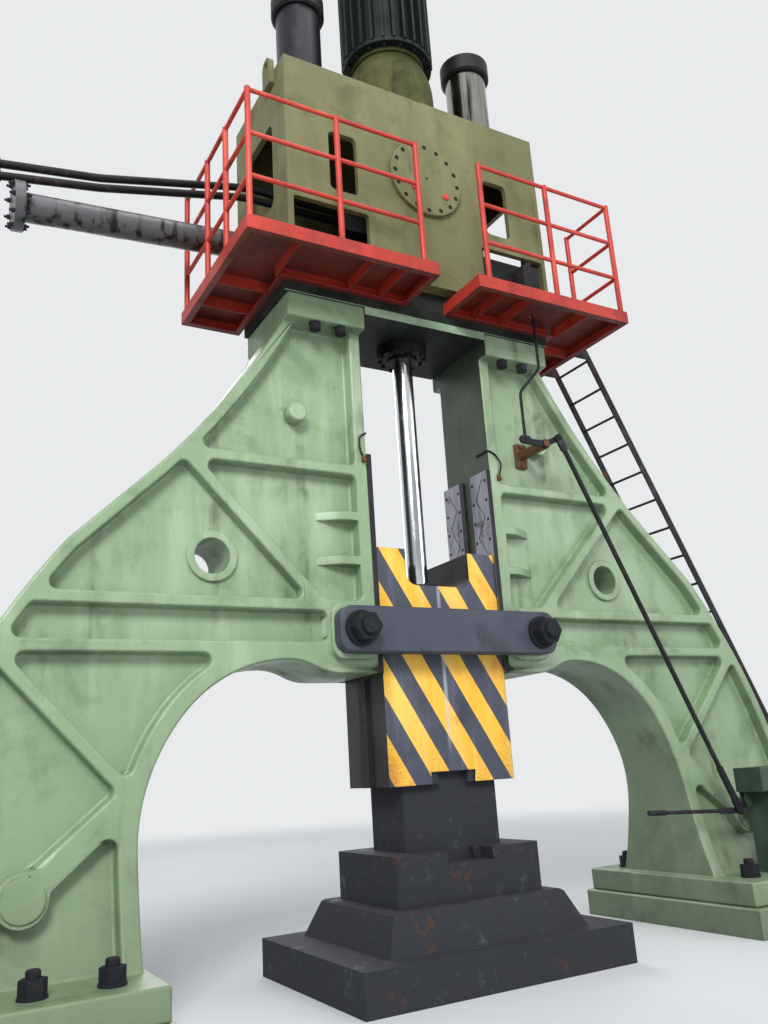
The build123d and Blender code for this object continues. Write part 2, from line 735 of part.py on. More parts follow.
# Pockets between the ribs, on the same outline
with BuildSketch(Plane.XZ.offset(-foot_depth / 2)) as pocket_sketch:
    add(column_outline.sketch)
    offset(amount=-rim_width, kind=Kind.INTERSECTION, mode=Mode.REPLACE)
    with Locations((throat + inner_rim_width / 2, (leg_bottom_z + cap_top_z) / 2)):
        Rectangle(inner_rim_width, cap_top_z - leg_bottom_z, mode=Mode.SUBTRACT)
    with BuildLine():
        rim_x = arch_x + arch_rim_width
        rim_z = arch_crown_z + arch_rim_width
        Line((rim_x, sole_thickness), (rim_x, arch_spring_z))
        CenterArc((arch_side_x, arch_spring_z), arch_side_radius + arch_rim_width, 0, arch_turn)
        CenterArc(
            (arch_crown_x, arch_spring_z + arch_drop),
            arch_crown_radius + arch_rim_width,
            arch_turn,
            90 - arch_turn,
        )
        Polyline((arch_crown_x, rim_z), (throat, rim_z), (throat, sole_thickness), (rim_x, sole_thickness))
    make_face(mode=Mode.SUBTRACT)
    rib_bar(throat, shelf_rib_z, shoulder_x, shelf_rib_z, rib_width)
    rib_bar(throat, sill_rib_z, hip_x, sill_rib_z, rib_width)
    rib_bar(throat, haunch_rib_z, hip_x, haunch_rib_z, rib_width)
    rib_bar(strut_top_x, shelf_rib_z, strut_foot_x, sill_rib_z, rib_width)
    rib_bar(brace_top_x, brace_top_z, brace_foot_x, brace_foot_z, rib_width)
    rib_bar(brace_foot_x, crutch_top_z, boss_x, boss_z, crutch_rib_width)
    rib_bar(boss_x, boss_z, tail_rib_x, tail_rib_z, rib_width)
    with Locations(((throat + pad_outer_x) / 2, (leg_bottom_z + sill_rib_z) / 2)):
        Rectangle(pad_outer_x - throat, sill_rib_z - leg_bottom_z, mode=Mode.SUBTRACT)
    with Locations(((throat + arch_crown_x) / 2, (leg_bottom_z + haunch_rib_z) / 2)):
        Rectangle(arch_crown_x - throat, haunch_rib_z - leg_bottom_z, mode=Mode.SUBTRACT)
    with Locations((boss_x, boss_z)):
        Circle(boss_radius, mode=Mode.SUBTRACT)
    wide_corners = [c for c in sharp_corners(pocket_sketch) if shortest_side(pocket_sketch, c) >= pocket_least_side]
    fillet(wide_corners, pocket_radius)
    tight_corners = sharp_corners(pocket_sketch)
    while tight_corners:
        fillet(tight_corners[0], pocket_side_share * shortest_side(pocket_sketch, tight_corners[0]))
        tight_corners = sharp_corners(pocket_sketch)

with BuildPart() as pocket_tool:
    for pocket in pocket_sketch.sketch.faces():
        extrude(pocket, amount=foot_depth, dir=(0, -1, 0))
    extrude(flare_face(pocket_depth), amount=foot_outer_x, dir=(1, 0, 0), mode=Mode.SUBTRACT)

# Right column casting
with BuildPart() as right_column:
    extrude(column_outline.sketch, amount=foot_depth, dir=(0, -1, 0))
    extrude(flare_face(0), amount=foot_outer_x, dir=(1, 0, 0), mode=Mode.INTERSECT)
    add(pocket_tool.part, mode=Mode.SUBTRACT)
    # flange under the head, and the foot flange with its inner toe
    with Locations(((throat + cap_outer_x) / 2, 0, (cap_bottom_z + cap_top_z) / 2)):
        Box(cap_outer_x - throat, column_depth + 2 * cap_overhang, cap_top_z - cap_bottom_z)
    with Locations(((foot_inner_x + foot_outer_x) / 2, 0, (sole_thickness + foot_top_z) / 2)):
        Box(foot_outer_x - foot_inner_x, foot_depth, foot_flange_thickness)
    # raised pads behind the tie bars
    with BuildSketch(Plane.XZ.offset(-pad_y)):
        with Locations(((throat + pad_outer_x) / 2, tie_z)):
            RectangleRounded(pad_outer_x - throat, tie_height + 2 * tie_pad_border, tie_corner)
    extrude(amount=2 * pad_y)
    # round boss of the through hole, lifting boss and trunnion
    with BuildSketch(Plane.XZ.offset(-hole_boss_y)):
        with Locations((hole_x, hole_z)):
            Circle(hole_boss_radius)
    extrude(amount=2 * hole_boss_y)
    with BuildSketch(Plane.XZ.offset(-lifting_boss_y)):
        with Locations((boss_x, boss_z)):
            Circle(boss_radius - boss_rim)
    extrude(amount=2 * lifting_boss_y)
    with BuildSketch(Plane.XZ.offset(-trunnion_y)):
        with Locations((trunnion_x, trunnion_z)):
            Circle(trunnion_radius)
    extrude(amount=2 * trunnion_y)
    # shelf gussets that run out from the inner rib and fade into the pocket floor
    for gusset_z in gusset_levels:
        for side in (-1, 1):
            rim_y = side * half_depth
            floor_y = side * (pocket_floor_y - gusset_sink)
            root_x = throat + inner_rim_width / 2
            with BuildSketch(Plane.XY.offset(gusset_z - gusset_thickness / 2)):
                with BuildLine():
                    Polyline((root_x, floor_y), (root_x, rim_y), (gusset_bend_x, rim_y))
                    tip_way = (1, -side * gusset_tip_slope)
                    Spline((gusset_bend_x, rim_y), (gusset_tip_x, floor_y), tangents=((1, 0), tip_way))
                    Line((gusset_tip_x, floor_y), (root_x, floor_y))
                make_face()
            extrude(amount=gusset_thickness)
    # through hole, tie bolt hole, and the holes for studs and bolts
    with BuildSketch(Plane.XZ.offset(-foot_depth)):
        with Locations((hole_x, hole_z)):
            Circle(hole_radius)
        with Locations((tie_bolt_x, tie_z)):
            Circle(tie_bolt_radius + fit_clearance)
    extrude(amount=2 * foot_depth, mode=Mode.SUBTRACT)
    with BuildSketch(Plane.XY.offset(sole_thickness)):
        with Locations(*foot_stud_places):
            Circle(foot_stud_radius + fit_clearance)
    extrude(amount=foot_flange_thickness + foot_nut_height, mode=Mode.SUBTRACT)
    with BuildSketch(Plane.XY.offset(cap_bottom_z)):
        with Locations(*head_bolt_places):
            Circle(head_bolt_radius + fit_clearance)
    extrude(amount=cap_top_z - cap_bottom_z, mode=Mode.SUBTRACT)
    with BuildSketch(Plane.YZ.offset(throat)):
        with Locations(*guide_bolt_places):
            Circle(guide_bolt_radius)
    extrude(amount=guide_bolt_depth, mode=Mode.SUBTRACT)
right_column.part.label = "right_column"
export_step(right_column.part, "parts/right_column.step")

# Left column casting, the mirror image of the right one
with BuildPart() as left_column:
    mirror(right_column.part, about=Plane.YZ)
left_column.part.label = "left_column"
export_step(left_column.part, "parts/left_column.step")

# Sole plates under the feet, with their top edges chamfered
with BuildPart() as right_sole_plate:
    with Locations(((foot_inner_x + foot_outer_x) / 2, 0, sole_thickness / 2)):
        Box(foot_outer_x - foot_inner_x + 2 * sole_overhang, foot_depth + 2 * sole_margin, sole_thickness)
    chamfer(right_sole_plate.faces().sort_by(Axis.Z)[-1].edges(), sole_chamfer)
    with BuildSketch(Plane.XY.offset(sole_thickness - foot_stud_grip)):
        with Locations(*foot_stud_places):
            Circle(foot_stud_radius)
    extrude(amount=foot_stud_grip, mode=Mode.SUBTRACT)
right_sole_plate.part.label = "right_sole_plate"
export_step(right_sole_plate.part, "parts/right_sole_plate.step")

with BuildPart() as left_sole_plate:
    mirror(right_sole_plate.part, about=Plane.YZ)
left_sole_plate.part.label = "left_sole_plate"
export_step(left_sole_plate.part, "parts/left_sole_plate.step")

# Studs that hold the feet to the sole plates, and their nuts on round washers
with BuildPart() as foot_studs:
    with BuildSketch(Plane.XY.offset(sole_thickness - foot_stud_grip)):
        with Locations(*foot_stud_places):
            Circle(foot_stud_radius)
    extrude(amount=foot_stud_length)
    chamfer(foot_studs.faces().filter_by(Axis.Z).group_by(Axis.Z)[-1].edges(), foot_stud_chamfer)
    mirror(about=Plane.YZ)
foot_studs.part.label = "foot_studs"
export_step(foot_studs.part, "parts/foot_studs.step")

with BuildPart() as foot_nuts:
    with BuildSketch(Plane.XY.offset(foot_top_z)):
        with Locations(*foot_stud_places):
            Circle(foot_washer_radius)
            Circle(foot_stud_radius + fit_clearance, mode=Mode.SUBTRACT)
    extrude(amount=foot_washer_thickness)
    with BuildSketch(Plane.XY.offset(foot_top_z + foot_washer_thickness)):
        with Locations(*foot_stud_places):
            RegularPolygon(foot_nut_across / 2, 6, major_radius=False)
            Circle(foot_stud_radius, mode=Mode.SUBTRACT)
    extrude(amount=foot_nut_height)
    mirror(about=Plane.YZ)
foot_nuts.part.label = "foot_nuts"
export_step(foot_nuts.part, "parts/foot_nuts.step")

# Bolts from below that hold the columns to the crosshead
with BuildPart() as column_head_bolts:
    with BuildSketch(Plane.XY.offset(cap_bottom_z - head_bolt_head)):
        with Locations(*head_bolt_places):
            RegularPolygon(head_bolt_across / 2, 6, major_radius=False)
    extrude(amount=head_bolt_head)
    with BuildSketch(Plane.XY.offset(cap_bottom_z)):
        with Locations(*head_bolt_places):
            Circle(head_bolt_radius)
    extrude(amount=cap_top_z - cap_bottom_z + head_bolt_grip)
    mirror(about=Plane.YZ)
column_head_bolts.part.label = "column_head_bolts"
export_step(column_head_bolts.part, "parts/column_head_bolts.step")

# Crosshead beam between the columns and the head box
with BuildPart() as crosshead:
    with Locations((0, 0, (cap_top_z + beam_top_z) / 2)):
        Box(2 * beam_half_width, beam_depth, beam_top_z - cap_top_z)
    with Locations((0, 0, (beam_middle_z + cap_top_z) / 2)):
        Box(throat_width - 2 * fit_clearance, beam_depth, beam_drop)
    with BuildSketch(Plane.XY.offset(beam_middle_z)):
        Circle(neck_radius + fit_clearance)
    extrude(amount=beam_top_z - beam_middle_z, mode=Mode.SUBTRACT)
    with BuildSketch(Plane.XY.offset(barrel_bottom_z)):
        Circle(barrel_radius + fit_clearance)
    extrude(amount=beam_top_z - barrel_bottom_z, mode=Mode.SUBTRACT)
    with BuildSketch(Plane.XY.offset(beam_middle_z)):
        with PolarLocations(gland_bolt_circle, gland_bolts_count):
            Circle(gland_bolt_radius)
    extrude(amount=gland_bolt_grip, mode=Mode.SUBTRACT)
    with BuildSketch(Plane.XY.offset(cap_top_z)):
        with Locations(*head_bolt_places):
            Circle(head_bolt_radius)
        mirror(about=Plane.YZ)
    extrude(amount=head_bolt_grip, mode=Mode.SUBTRACT)
crosshead.part.label = "crosshead"
export_step(crosshead.part, "parts/crosshead.step")

# Tie bars across the front and the back, with rounded ends
with BuildPart() as front_tie_bar:
    with BuildSketch(Plane.XZ.offset(pad_y)):
        with Locations((0, tie_z)):
            RectangleRounded(2 * tie_half_length, tie_height, tie_corner)
        with Locations((-tie_bolt_x, tie_z), (tie_bolt_x, tie_z)):
            Circle(tie_bolt_radius + fit_clearance, mode=Mode.SUBTRACT)
    extrude(amount=tie_thickness)
    chamfer(front_tie_bar.faces().sort_by(Axis.Y)[0].outer_wire().edges(), tie_chamfer)
front_tie_bar.part.label = "front_tie_bar"
export_step(front_tie_bar.part, "parts/front_tie_bar.step")

with BuildPart() as rear_tie_bar:
    mirror(front_tie_bar.part, about=Plane.XZ)
rear_tie_bar.part.label = "rear_tie_bar"
export_step(rear_tie_bar.part, "parts/rear_tie_bar.step")

# Long bolts through both tie bars and the columns
with BuildPart() as tie_bolts:
    with BuildSketch(Plane.XZ.offset(-tie_bolt_end_y)):
        with Locations((-tie_bolt_x, tie_z), (tie_bolt_x, tie_z)):
            Circle(tie_bolt_radius)
    extrude(amount=2 * tie_bolt_end_y)
    chamfer(tie_bolts.faces().filter_by(Axis.Y).edges(), tie_bolt_chamfer)
tie_bolts.part.label = "tie_bolts"
export_step(tie_bolts.part, "parts/tie_bolts.step")

with BuildPart() as tie_washers:
    with BuildSketch(Plane.XZ.offset(tie_front_y)):
        with Locations((-tie_bolt_x, tie_z), (tie_bolt_x, tie_z)):
            Circle(tie_washer_radius)
            Circle(tie_bolt_radius + fit_clearance, mode=Mode.SUBTRACT)
    extrude(amount=tie_washer_thickness)
    mirror(about=Plane.XZ)
tie_washers.part.label = "tie_washers"
export_step(tie_washers.part, "parts/tie_washers.step")

with BuildPart() as tie_nuts:
    with BuildSketch(Plane.XZ.offset(tie_front_y + tie_washer_thickness)):
        with Locations((-tie_bolt_x, tie_z), (tie_bolt_x, tie_z)):
            RegularPolygon(tie_nut_across / 2, 6, major_radius=False)
            Circle(tie_bolt_radius, mode=Mode.SUBTRACT)
    extrude(amount=tie_nut_height)
    mirror(about=Plane.XZ)
tie_nuts.part.label = "tie_nuts"
export_step(tie_nuts.part, "parts/tie_nuts.step")

# Guide rails beside the ram, two to a column, bevelled to suit the strip between them
with BuildPart() as right_guides:
    with BuildSketch(Plane.XY.offset(leg_bottom_z)):
        with BuildLine():
            Polyline(
                (guide_face_x, guide_bevel_y),
                (guide_tip_x, guide_back_y),
                (throat, guide_back_y),
                (throat, half_depth),
                (guide_face_x, half_depth),
                close=True,
            )
        make_face()
        mirror(about=Plane.XZ)
    extrude(amount=guide_top_z - leg_bottom_z)
    with BuildSketch(Plane.YZ.offset(guide_face_x)):
        with Locations(*guide_bolt_places):
            Circle(guide_bolt_head_radius + fit_clearance)
    extrude(amount=guide_bolt_sink, mode=Mode.SUBTRACT)
    with BuildSketch(Plane.YZ.offset(guide_face_x)):
        with Locations(*guide_bolt_places):
            Circle(guide_bolt_radius)
    extrude(amount=throat - guide_face_x, mode=Mode.SUBTRACT)
    # zigzag oil grooves on the sliding faces
    with BuildSketch(Plane.YZ.offset(guide_face_x)):
        for side in (-1, 1):
            with BuildLine():
                Polyline(*[(side * y, z) for y, z in groove_points])
            trace(line_width=groove_width)
    extrude(amount=groove_depth, mode=Mode.SUBTRACT)
right_guides.part.label = "right_guides"
export_step(right_guides.part, "parts/right_guides.step")

with BuildPart() as left_guides:
    mirror(right_guides.part, about=Plane.YZ)
left_guides.part.label = "left_guides"
export_step(left_guides.part, "parts/left_guides.step")

with BuildPart() as guide_bolts:
    with BuildSketch(Plane.YZ.offset(guide_face_x + guide_bolt_sink)):
        with Locations(*guide_bolt_places):
            Circle(guide_bolt_head_radius)
    extrude(amount=-guide_bolt_head)
    with BuildSketch(Plane.YZ.offset(guide_face_x + guide_bolt_sink)):
        with Locations(*guide_bolt_places):
            Circle(guide_bolt_radius)
    extrude(amount=throat - guide_face_x - guide_bolt_sink + guide_bolt_depth)
    mirror(about=Plane.YZ)
guide_bolts.part.label = "guide_bolts"
export_step(guide_bolts.part, "parts/guide_bolts.step")

# Head box, an open-sided steel box over the crosshead
with BuildPart() as head_box:
    with Locations((0, 0, (beam_top_z + box_top_z) / 2)):
        Box(box_width, box_depth, box_top_z - beam_top_z)
    chamfer(head_box.edges().filter_by(Axis.Z), box_chamfer)
    chamfer(head_box.faces().sort_by(Axis.Z)[-1].edges(), box_chamfer)
    with Locations((0, 0, (box_floor_z + box_roof_z) / 2)):
        Box(2 * wall_inner, box_depth - 2 * box_wall, box_roof_z - box_floor_z, mode=Mode.SUBTRACT)
    with BuildSketch(Plane.XZ.offset(-box_front_y)):
        with Locations((-window_x, window_z), (window_x, window_z)):
            RectangleRounded(window_width, window_height, window_radius)
        with Locations((-door_x, door_z), (door_x, door_z)):
            RectangleRounded(door_width, door_height, door_radius)
        with Locations((cover_x, cover_z)):
            Circle(cover_hole_radius)
    extrude(amount=-box_wall, mode=Mode.SUBTRACT)
    with BuildSketch(Plane.YZ.offset(-box_half)):
        with Locations((side_opening_y, side_opening_z)):
            RectangleRounded(side_opening_width, side_opening_height, side_opening_radius)
    extrude(amount=box_width, mode=Mode.SUBTRACT)
    with BuildSketch(Plane.XY.offset(beam_top_z)):
        Circle(barrel_radius + fit_clearance)
    extrude(amount=box_wall, mode=Mode.SUBTRACT)
    with BuildSketch(Plane.XZ.offset(-box_front_y)):
        with Locations((cover_x, cover_z)):
            with PolarLocations(cover_bolt_circle, cover_bolts_count):
                Circle(cover_bolt_radius)
    extrude(amount=-box_wall, mode=Mode.SUBTRACT)
head_box.part.label = "head_box"
export_step(head_box.part, "parts/head_box.step")

# Round cover in the middle of the box front, with sunk bolts and two plugs
with BuildPart() as inspection_cover:
    with BuildSketch(Plane.XZ.offset(-box_front_y)):
        with Locations((cover_x, cover_z)):
            Circle(cover_radius)
            with PolarLocations(cover_bolt_circle, cover_bolts_count):
                Circle(cover_bolt_radius, mode=Mode.SUBTRACT)
    extrude(amount=cover_thickness)
    chamfer(inspection_cover.faces().sort_by(Axis.Y)[0].outer_wire().edges(), cover_chamfer)
    with BuildSketch(Plane.XZ.offset(-box_front_y + cover_thickness)):
        with Locations((cover_x, cover_z)):
            Circle(cover_eye_radius)
            with PolarLocations(cover_bolt_circle, cover_bolts_count):
                Circle(cover_head_radius + fit_clearance)
    extrude(amount=-cover_sink, mode=Mode.SUBTRACT)
inspection_cover.part.label = "inspection_cover"
export_step(inspection_cover.part, "parts/inspection_cover.step")

with BuildPart() as cover_bolts:
    with BuildSketch(Plane.XZ.offset(cover_seat_y)):
        with Locations((cover_x, cover_z)):
            with PolarLocations(cover_bolt_circle, cover_bolts_count):
                Circle(cover_head_radius)
    extrude(amount=cover_head_height)
    with BuildSketch(Plane.XZ.offset(cover_seat_y)):
        with Locations((cover_x, cover_z)):
            with PolarLocations(cover_bolt_circle, cover_bolts_count):
                Circle(cover_bolt_radius)
    extrude(amount=-(cover_seat_y + box_front_y + box_wall))
cover_bolts.part.label = "cover_bolts"
export_step(cover_bolts.part, "parts/cover_bolts.step")

with BuildPart() as cover_plugs:
    with BuildSketch(Plane.XZ.offset(-box_front_y + cover_thickness)):
        with Locations(*plug_places):
            Circle(plug_radius)
    extrude(amount=plug_height)
    chamfer(cover_plugs.faces().filter_by(Axis.Y).group_by(Axis.Y)[0].edges(), plug_chamfer)
cover_plugs.part.label = "cover_plugs"
export_step(cover_plugs.part, "parts/cover_plugs.step")

# Cylinder barrel, closed at the top, standing in the crosshead
with BuildPart() as cylinder:
    with BuildSketch(Plane.XY.offset(barrel_bottom_z)):
        Circle(barrel_radius)
    extrude(amount=barrel_top_z - barrel_bottom_z)
    chamfer(cylinder.faces().sort_by(Axis.Z)[-1].edges(), barrel_chamfer)
    with BuildSketch(Plane.XY.offset(barrel_bottom_z)):
        Circle(bore_radius)
    extrude(amount=barrel_top_z - barrel_cap - barrel_bottom_z, mode=Mode.SUBTRACT)
cylinder.part.label = "cylinder"
export_step(cylinder.part, "parts/cylinder.step")

# Gland flange and neck that guide the rod at the bottom of the cylinder
with BuildPart() as gland_flange:
    with BuildSketch(Plane.XY.offset(gland_bottom_z)):
        Circle(gland_radius)
        with PolarLocations(gland_bolt_circle, gland_bolts_count):
            Circle(gland_bolt_radius, mode=Mode.SUBTRACT)
    extrude(amount=beam_middle_z - gland_bottom_z)
    with BuildSketch(Plane.XY.offset(beam_middle_z)):
        Circle(neck_radius)
    extrude(amount=barrel_bottom_z - beam_middle_z)
    with BuildSketch(Plane.XY.offset(gland_bottom_z - gland_lip)):
        Circle(gland_lip_radius)
    extrude(amount=gland_lip)
    with BuildSketch(Plane.XY.offset(gland_bottom_z - gland_lip)):
        Circle(rod_radius + rod_bore_clearance)
    extrude(amount=barrel_bottom_z - gland_bottom_z + gland_lip, mode=Mode.SUBTRACT)
gland_flange.part.label = "gland_flange"
export_step(gland_flange.part, "parts/gland_flange.step")

with BuildPart() as gland_bolts:
    with BuildSketch(Plane.XY.offset(gland_bottom_z - gland_bolt_head)):
        with PolarLocations(gland_bolt_circle, gland_bolts_count):
            RegularPolygon(gland_bolt_across / 2, 6, major_radius=False)
    extrude(amount=gland_bolt_head)
    with BuildSketch(Plane.XY.offset(gland_bottom_z)):
        with PolarLocations(gland_bolt_circle, gland_bolts_count):
            Circle(gland_bolt_radius)
    extrude(amount=beam_middle_z - gland_bottom_z + gland_bolt_grip)
gland_bolts.part.label = "gland_bolts"
export_step(gland_bolts.part, "parts/gland_bolts.step")

# Control valve on the box floor, with its spool housing reaching out through the lower opening
with BuildPart() as valve_block:
    with Locations(((valve_left_x + valve_right_x) / 2, (valve_front_y + valve_back_y) / 2, valve_z)):
        Box(valve_right_x - valve_left_x, valve_back_y - valve_front_y, valve_height)
    with Locations((spool_x, (spool_front_y + valve_front_y) / 2, spool_bottom_z + spool_height / 2)):
        Box(spool_width, valve_front_y - spool_front_y, spool_height)
    with BuildSketch(Plane.XY.offset(spool_bottom_z + spool_height)):
        with Locations((spool_x, link_y)):
            Circle(spool_cap_radius)
    extrude(amount=spool_cap_height)
    with BuildSketch(Plane.XY.offset(spool_bottom_z)):
        with Locations((spool_x, link_y)):
            Circle(valve_rod_radius + moving_clearance)
    extrude(amount=spool_bore_depth, mode=Mode.SUBTRACT)
valve_block.part.label = "valve_block"
export_step(valve_block.part, "parts/valve_block.step")

# Pressure manifold clamped against the cylinder, where the two pressure pipes end
with BuildPart() as pressure_manifold:
    with BuildSketch(Plane.XY.offset(manifold_bottom_z)):
        with Locations((-(manifold_reach + barrel_radius / 2) / 2, pipe_y)):
            Rectangle(manifold_reach - barrel_radius / 2, manifold_width)
        Circle(barrel_radius, mode=Mode.SUBTRACT)
    extrude(amount=manifold_height)
    chamfer(pressure_manifold.faces().sort_by(Axis.X)[0].edges(), manifold_chamfer)
pressure_manifold.part.label = "pressure_manifold"
export_step(pressure_manifold.part, "parts/pressure_manifold.step")

# Domed bell between the roof and the motor
with BuildPart() as bell_housing:
    with BuildSketch(motor_plane):
        with BuildLine():
            Polyline(
                (bell_radius - bell_wall, box_top_z),
                (bell_radius + bell_foot, box_top_z),
                (bell_radius + bell_foot, box_top_z + bell_flange),
                (bell_radius, box_top_z + bell_flange),
                (bell_radius, bell_dome_z),
            )
            Spline(
                (bell_radius, bell_dome_z),
                (bell_top_radius, bell_top_z - bell_flange),
                tangents=((0, 1), (-bell_lean, 1)),
            )
            Polyline(
                (bell_top_radius, bell_top_z - bell_flange),
                (bell_top_radius + bell_foot, bell_top_z - bell_flange),
                (bell_top_radius + bell_foot, bell_top_z),
                (bell_hole_radius, bell_top_z),
                (bell_hole_radius, bell_top_z - bell_flange),
                (bell_top_radius - bell_wall, bell_top_z - bell_flange),
            )
            Spline(
                (bell_top_radius - bell_wall, bell_top_z - bell_flange),
                (bell_radius - bell_wall, bell_dome_z),
                tangents=((bell_lean, -1), (0, -1)),
            )
            Line((bell_radius - bell_wall, bell_dome_z), (bell_radius - bell_wall, box_top_z))
        make_face()
    revolve(axis=motor_axis)
bell_housing.part.label = "bell_housing"
export_step(bell_housing.part, "parts/bell_housing.step")

# Oil pump inside the bell, driven by the motor shaft
with BuildPart() as oil_pump:
    with BuildSketch(motor_plane):
        with BuildLine():
            Polyline(
                (0, box_top_z),
                (pump_radius, box_top_z),
                (pump_radius, box_top_z + pump_height),
                (pump_boss_radius, box_top_z + pump_height),
                (pump_boss_radius, pump_top_z),
                (shaft_radius + moving_clearance, pump_top_z),
                (shaft_radius + moving_clearance, shaft_bottom_z - pump_room),
                (0, shaft_bottom_z - pump_room),
                close=True,
            )
        make_face()
    revolve(axis=motor_axis)
oil_pump.part.label = "oil_pump"
export_step(oil_pump.part, "parts/oil_pump.step")

# Motor housing with deep cooling fins
with BuildPart() as motor_housing:
    with BuildSketch(Plane.XY.offset(bell_top_z)):
        with Locations((0, motor_y)):
            Circle(motor_core_radius)
    extrude(amount=motor_height)
    with BuildSketch(Plane.XY.offset(bell_top_z)):
        with Locations((0, motor_y)):
            Circle(motor_ring_radius)
    extrude(amount=motor_ring)
    with BuildSketch(Plane.XY.offset(motor_top_z - motor_ring)):
        with Locations((0, motor_y)):
            Circle(motor_ring_radius)
    extrude(amount=motor_ring)
    with BuildSketch(Plane.XY.offset(bell_top_z + motor_ring)):
        with Locations((0, motor_y)):
            with PolarLocations(motor_radius - (fin_depth + fin_root) / 2, motor_fins):
                Rectangle(fin_depth + fin_root, fin_thickness)
    extrude(amount=motor_height - 2 * motor_ring)
    with BuildSketch(Plane.XY.offset(bell_top_z + motor_ring)):
        with Locations((0, motor_y)):
            Circle(motor_core_radius - motor_wall)
    extrude(amount=motor_height - 2 * motor_ring, mode=Mode.SUBTRACT)
    with BuildSketch(Plane.XY.offset(bell_top_z)):
        with Locations((0, motor_y)):
            Circle(shaft_radius + moving_clearance)
    extrude(amount=motor_height, mode=Mode.SUBTRACT)
motor_housing.part.label = "motor_housing"
export_step(motor_housing.part, "parts/motor_housing.step")

# Fan cowl with slots through its top
with BuildPart() as fan_cowl:
    with BuildSketch(Plane.XY.offset(motor_top_z)):
        with Locations((0, motor_y)):
            Circle(motor_ring_radius)
    extrude(amount=cowl_height)
    chamfer(fan_cowl.faces().sort_by(Axis.Z)[-1].edges(), cowl_chamfer)
    with BuildSketch(Plane.XY.offset(motor_top_z)):
        with Locations((0, motor_y)):
            Circle(motor_ring_radius - cowl_wall)
    extrude(amount=cowl_height - cowl_chamfer, mode=Mode.SUBTRACT)
    with BuildSketch(Plane.XY.offset(motor_top_z)):
        with Locations((0, motor_y)):
            with PolarLocations(cowl_slot_circle_radius, cowl_slots):
                Rectangle(cowl_slot_length, cowl_slot_width)
    extrude(amount=cowl_height, mode=Mode.SUBTRACT)
fan_cowl.part.label = "fan_cowl"
export_step(fan_cowl.part, "parts/fan_cowl.step")

# Rotor, shaft and cooling fan, turning together
with BuildPart() as motor_rotor:
    with BuildSketch(motor_plane):
        with BuildLine():
            Polyline(
                (0, shaft_bottom_z),
                (shaft_radius, shaft_bottom_z),
                (shaft_radius, rotor_bottom_z),
                (rotor_radius, rotor_bottom_z),
                (rotor_radius, rotor_top_z),
                (shaft_radius, rotor_top_z),
                (shaft_radius, fan_z - fan_hub_height / 2),
                (fan_hub_radius, fan_z - fan_hub_height / 2),
                (fan_hub_radius, fan_z + fan_hub_height / 2),
                (0, fan_z + fan_hub_height / 2),
                close=True,
            )
        make_face()
    revolve(axis=motor_axis)
    with BuildSketch(Plane.XY.offset(fan_z - fan_blade_height / 2)):
        with Locations((0, motor_y)):
            with PolarLocations(fan_blade_circle_radius, fan_blades):
                Rectangle(fan_blade_length, fan_blade_thickness)
    extrude(amount=fan_blade_height)
motor_rotor.part.label = "motor_rotor"
export_step(motor_rotor.part, "parts/motor_rotor.step")

# Accumulator bottles at the two sides of the motor, and their caps
bottle_plane = Plane(origin=(accumulator_x, accumulator_y, 0), x_dir=(1, 0, 0), z_dir=(0, -1, 0))
with BuildPart() as right_accumulator:
    with BuildSketch(bottle_plane):
        with BuildLine():
            Polyline(
                (0, accumulator_top_z),
                (0, box_top_z),
                (accumulator_foot_radius, box_top_z),
                (accumulator_foot_radius, box_top_z + accumulator_foot),
            )
            Spline(
                (accumulator_foot_radius, box_top_z + accumulator_foot),
                (accumulator_radius, accumulator_shoulder_z),
                tangents=((1, accumulator_lift), (0, 1)),
            )
            Polyline(
                (accumulator_radius, accumulator_shoulder_z),
                (accumulator_radius, accumulator_top_z),
                (0, accumulator_top_z),
            )
        make_face()
    revolve(axis=Axis((accumulator_x, accumulator_y, 0), (0, 0, 1)))
right_accumulator.part.label = "right_accumulator"
export_step(right_accumulator.part, "parts/right_accumulator.step")

with BuildPart() as left_accumulator:
    mirror(right_accumulator.part, about=Plane.YZ)
left_accumulator.part.label = "left_accumulator"
export_step(left_accumulator.part, "parts/left_accumulator.step")

with BuildPart() as accumulator_caps:
    with BuildSketch(Plane.XY.offset(accumulator_top_z)):
        with Locations((-accumulator_x, accumulator_y), (accumulator_x, accumulator_y)):
            Circle(accumulator_cap_radius)
    extrude(amount=accumulator_cap_height)
    chamfer(accumulator_caps.faces().filter_by(Axis.Z).edges(), accumulator_cap_chamfer)
accumulator_caps.part.label = "accumulator_caps"
export_step(accumulator_caps.part, "parts/accumulator_caps.step")

# Lifting lugs on the side walls of the head box
with BuildPart() as lifting_lugs:
    with BuildSketch(Plane.YZ.offset(box_half)):
        with Locations((lug_y, (lug_bottom_z + lug_eye_z) / 2)):
            Rectangle(lug_width, lug_eye_z - lug_bottom_z)
        with Locations((lug_y, lug_eye_z)):
            Circle(lug_width / 2)
            Circle(lug_hole_radius, mode=Mode.SUBTRACT)
    extrude(amount=lug_thickness)
    mirror(about=Plane.YZ)
lifting_lugs.part.label = "lifting_lugs"
export_step(lifting_lugs.part, "parts/lifting_lugs.step")


def deck_shape(inner_x):
    """The bent outline of the right deck, drawn on the open sketch."""
    with BuildLine() as line:
        Polyline(
            (inner_x, deck_front_y),
            (deck_outer_x, deck_front_y),
            (deck_outer_x, deck_back_y),
            (beam_half_width, deck_back_y),
            (beam_half_width, -beam_depth / 2),
            (inner_x, -beam_depth / 2),
            close=True,
        )
    make_face(line.edges())


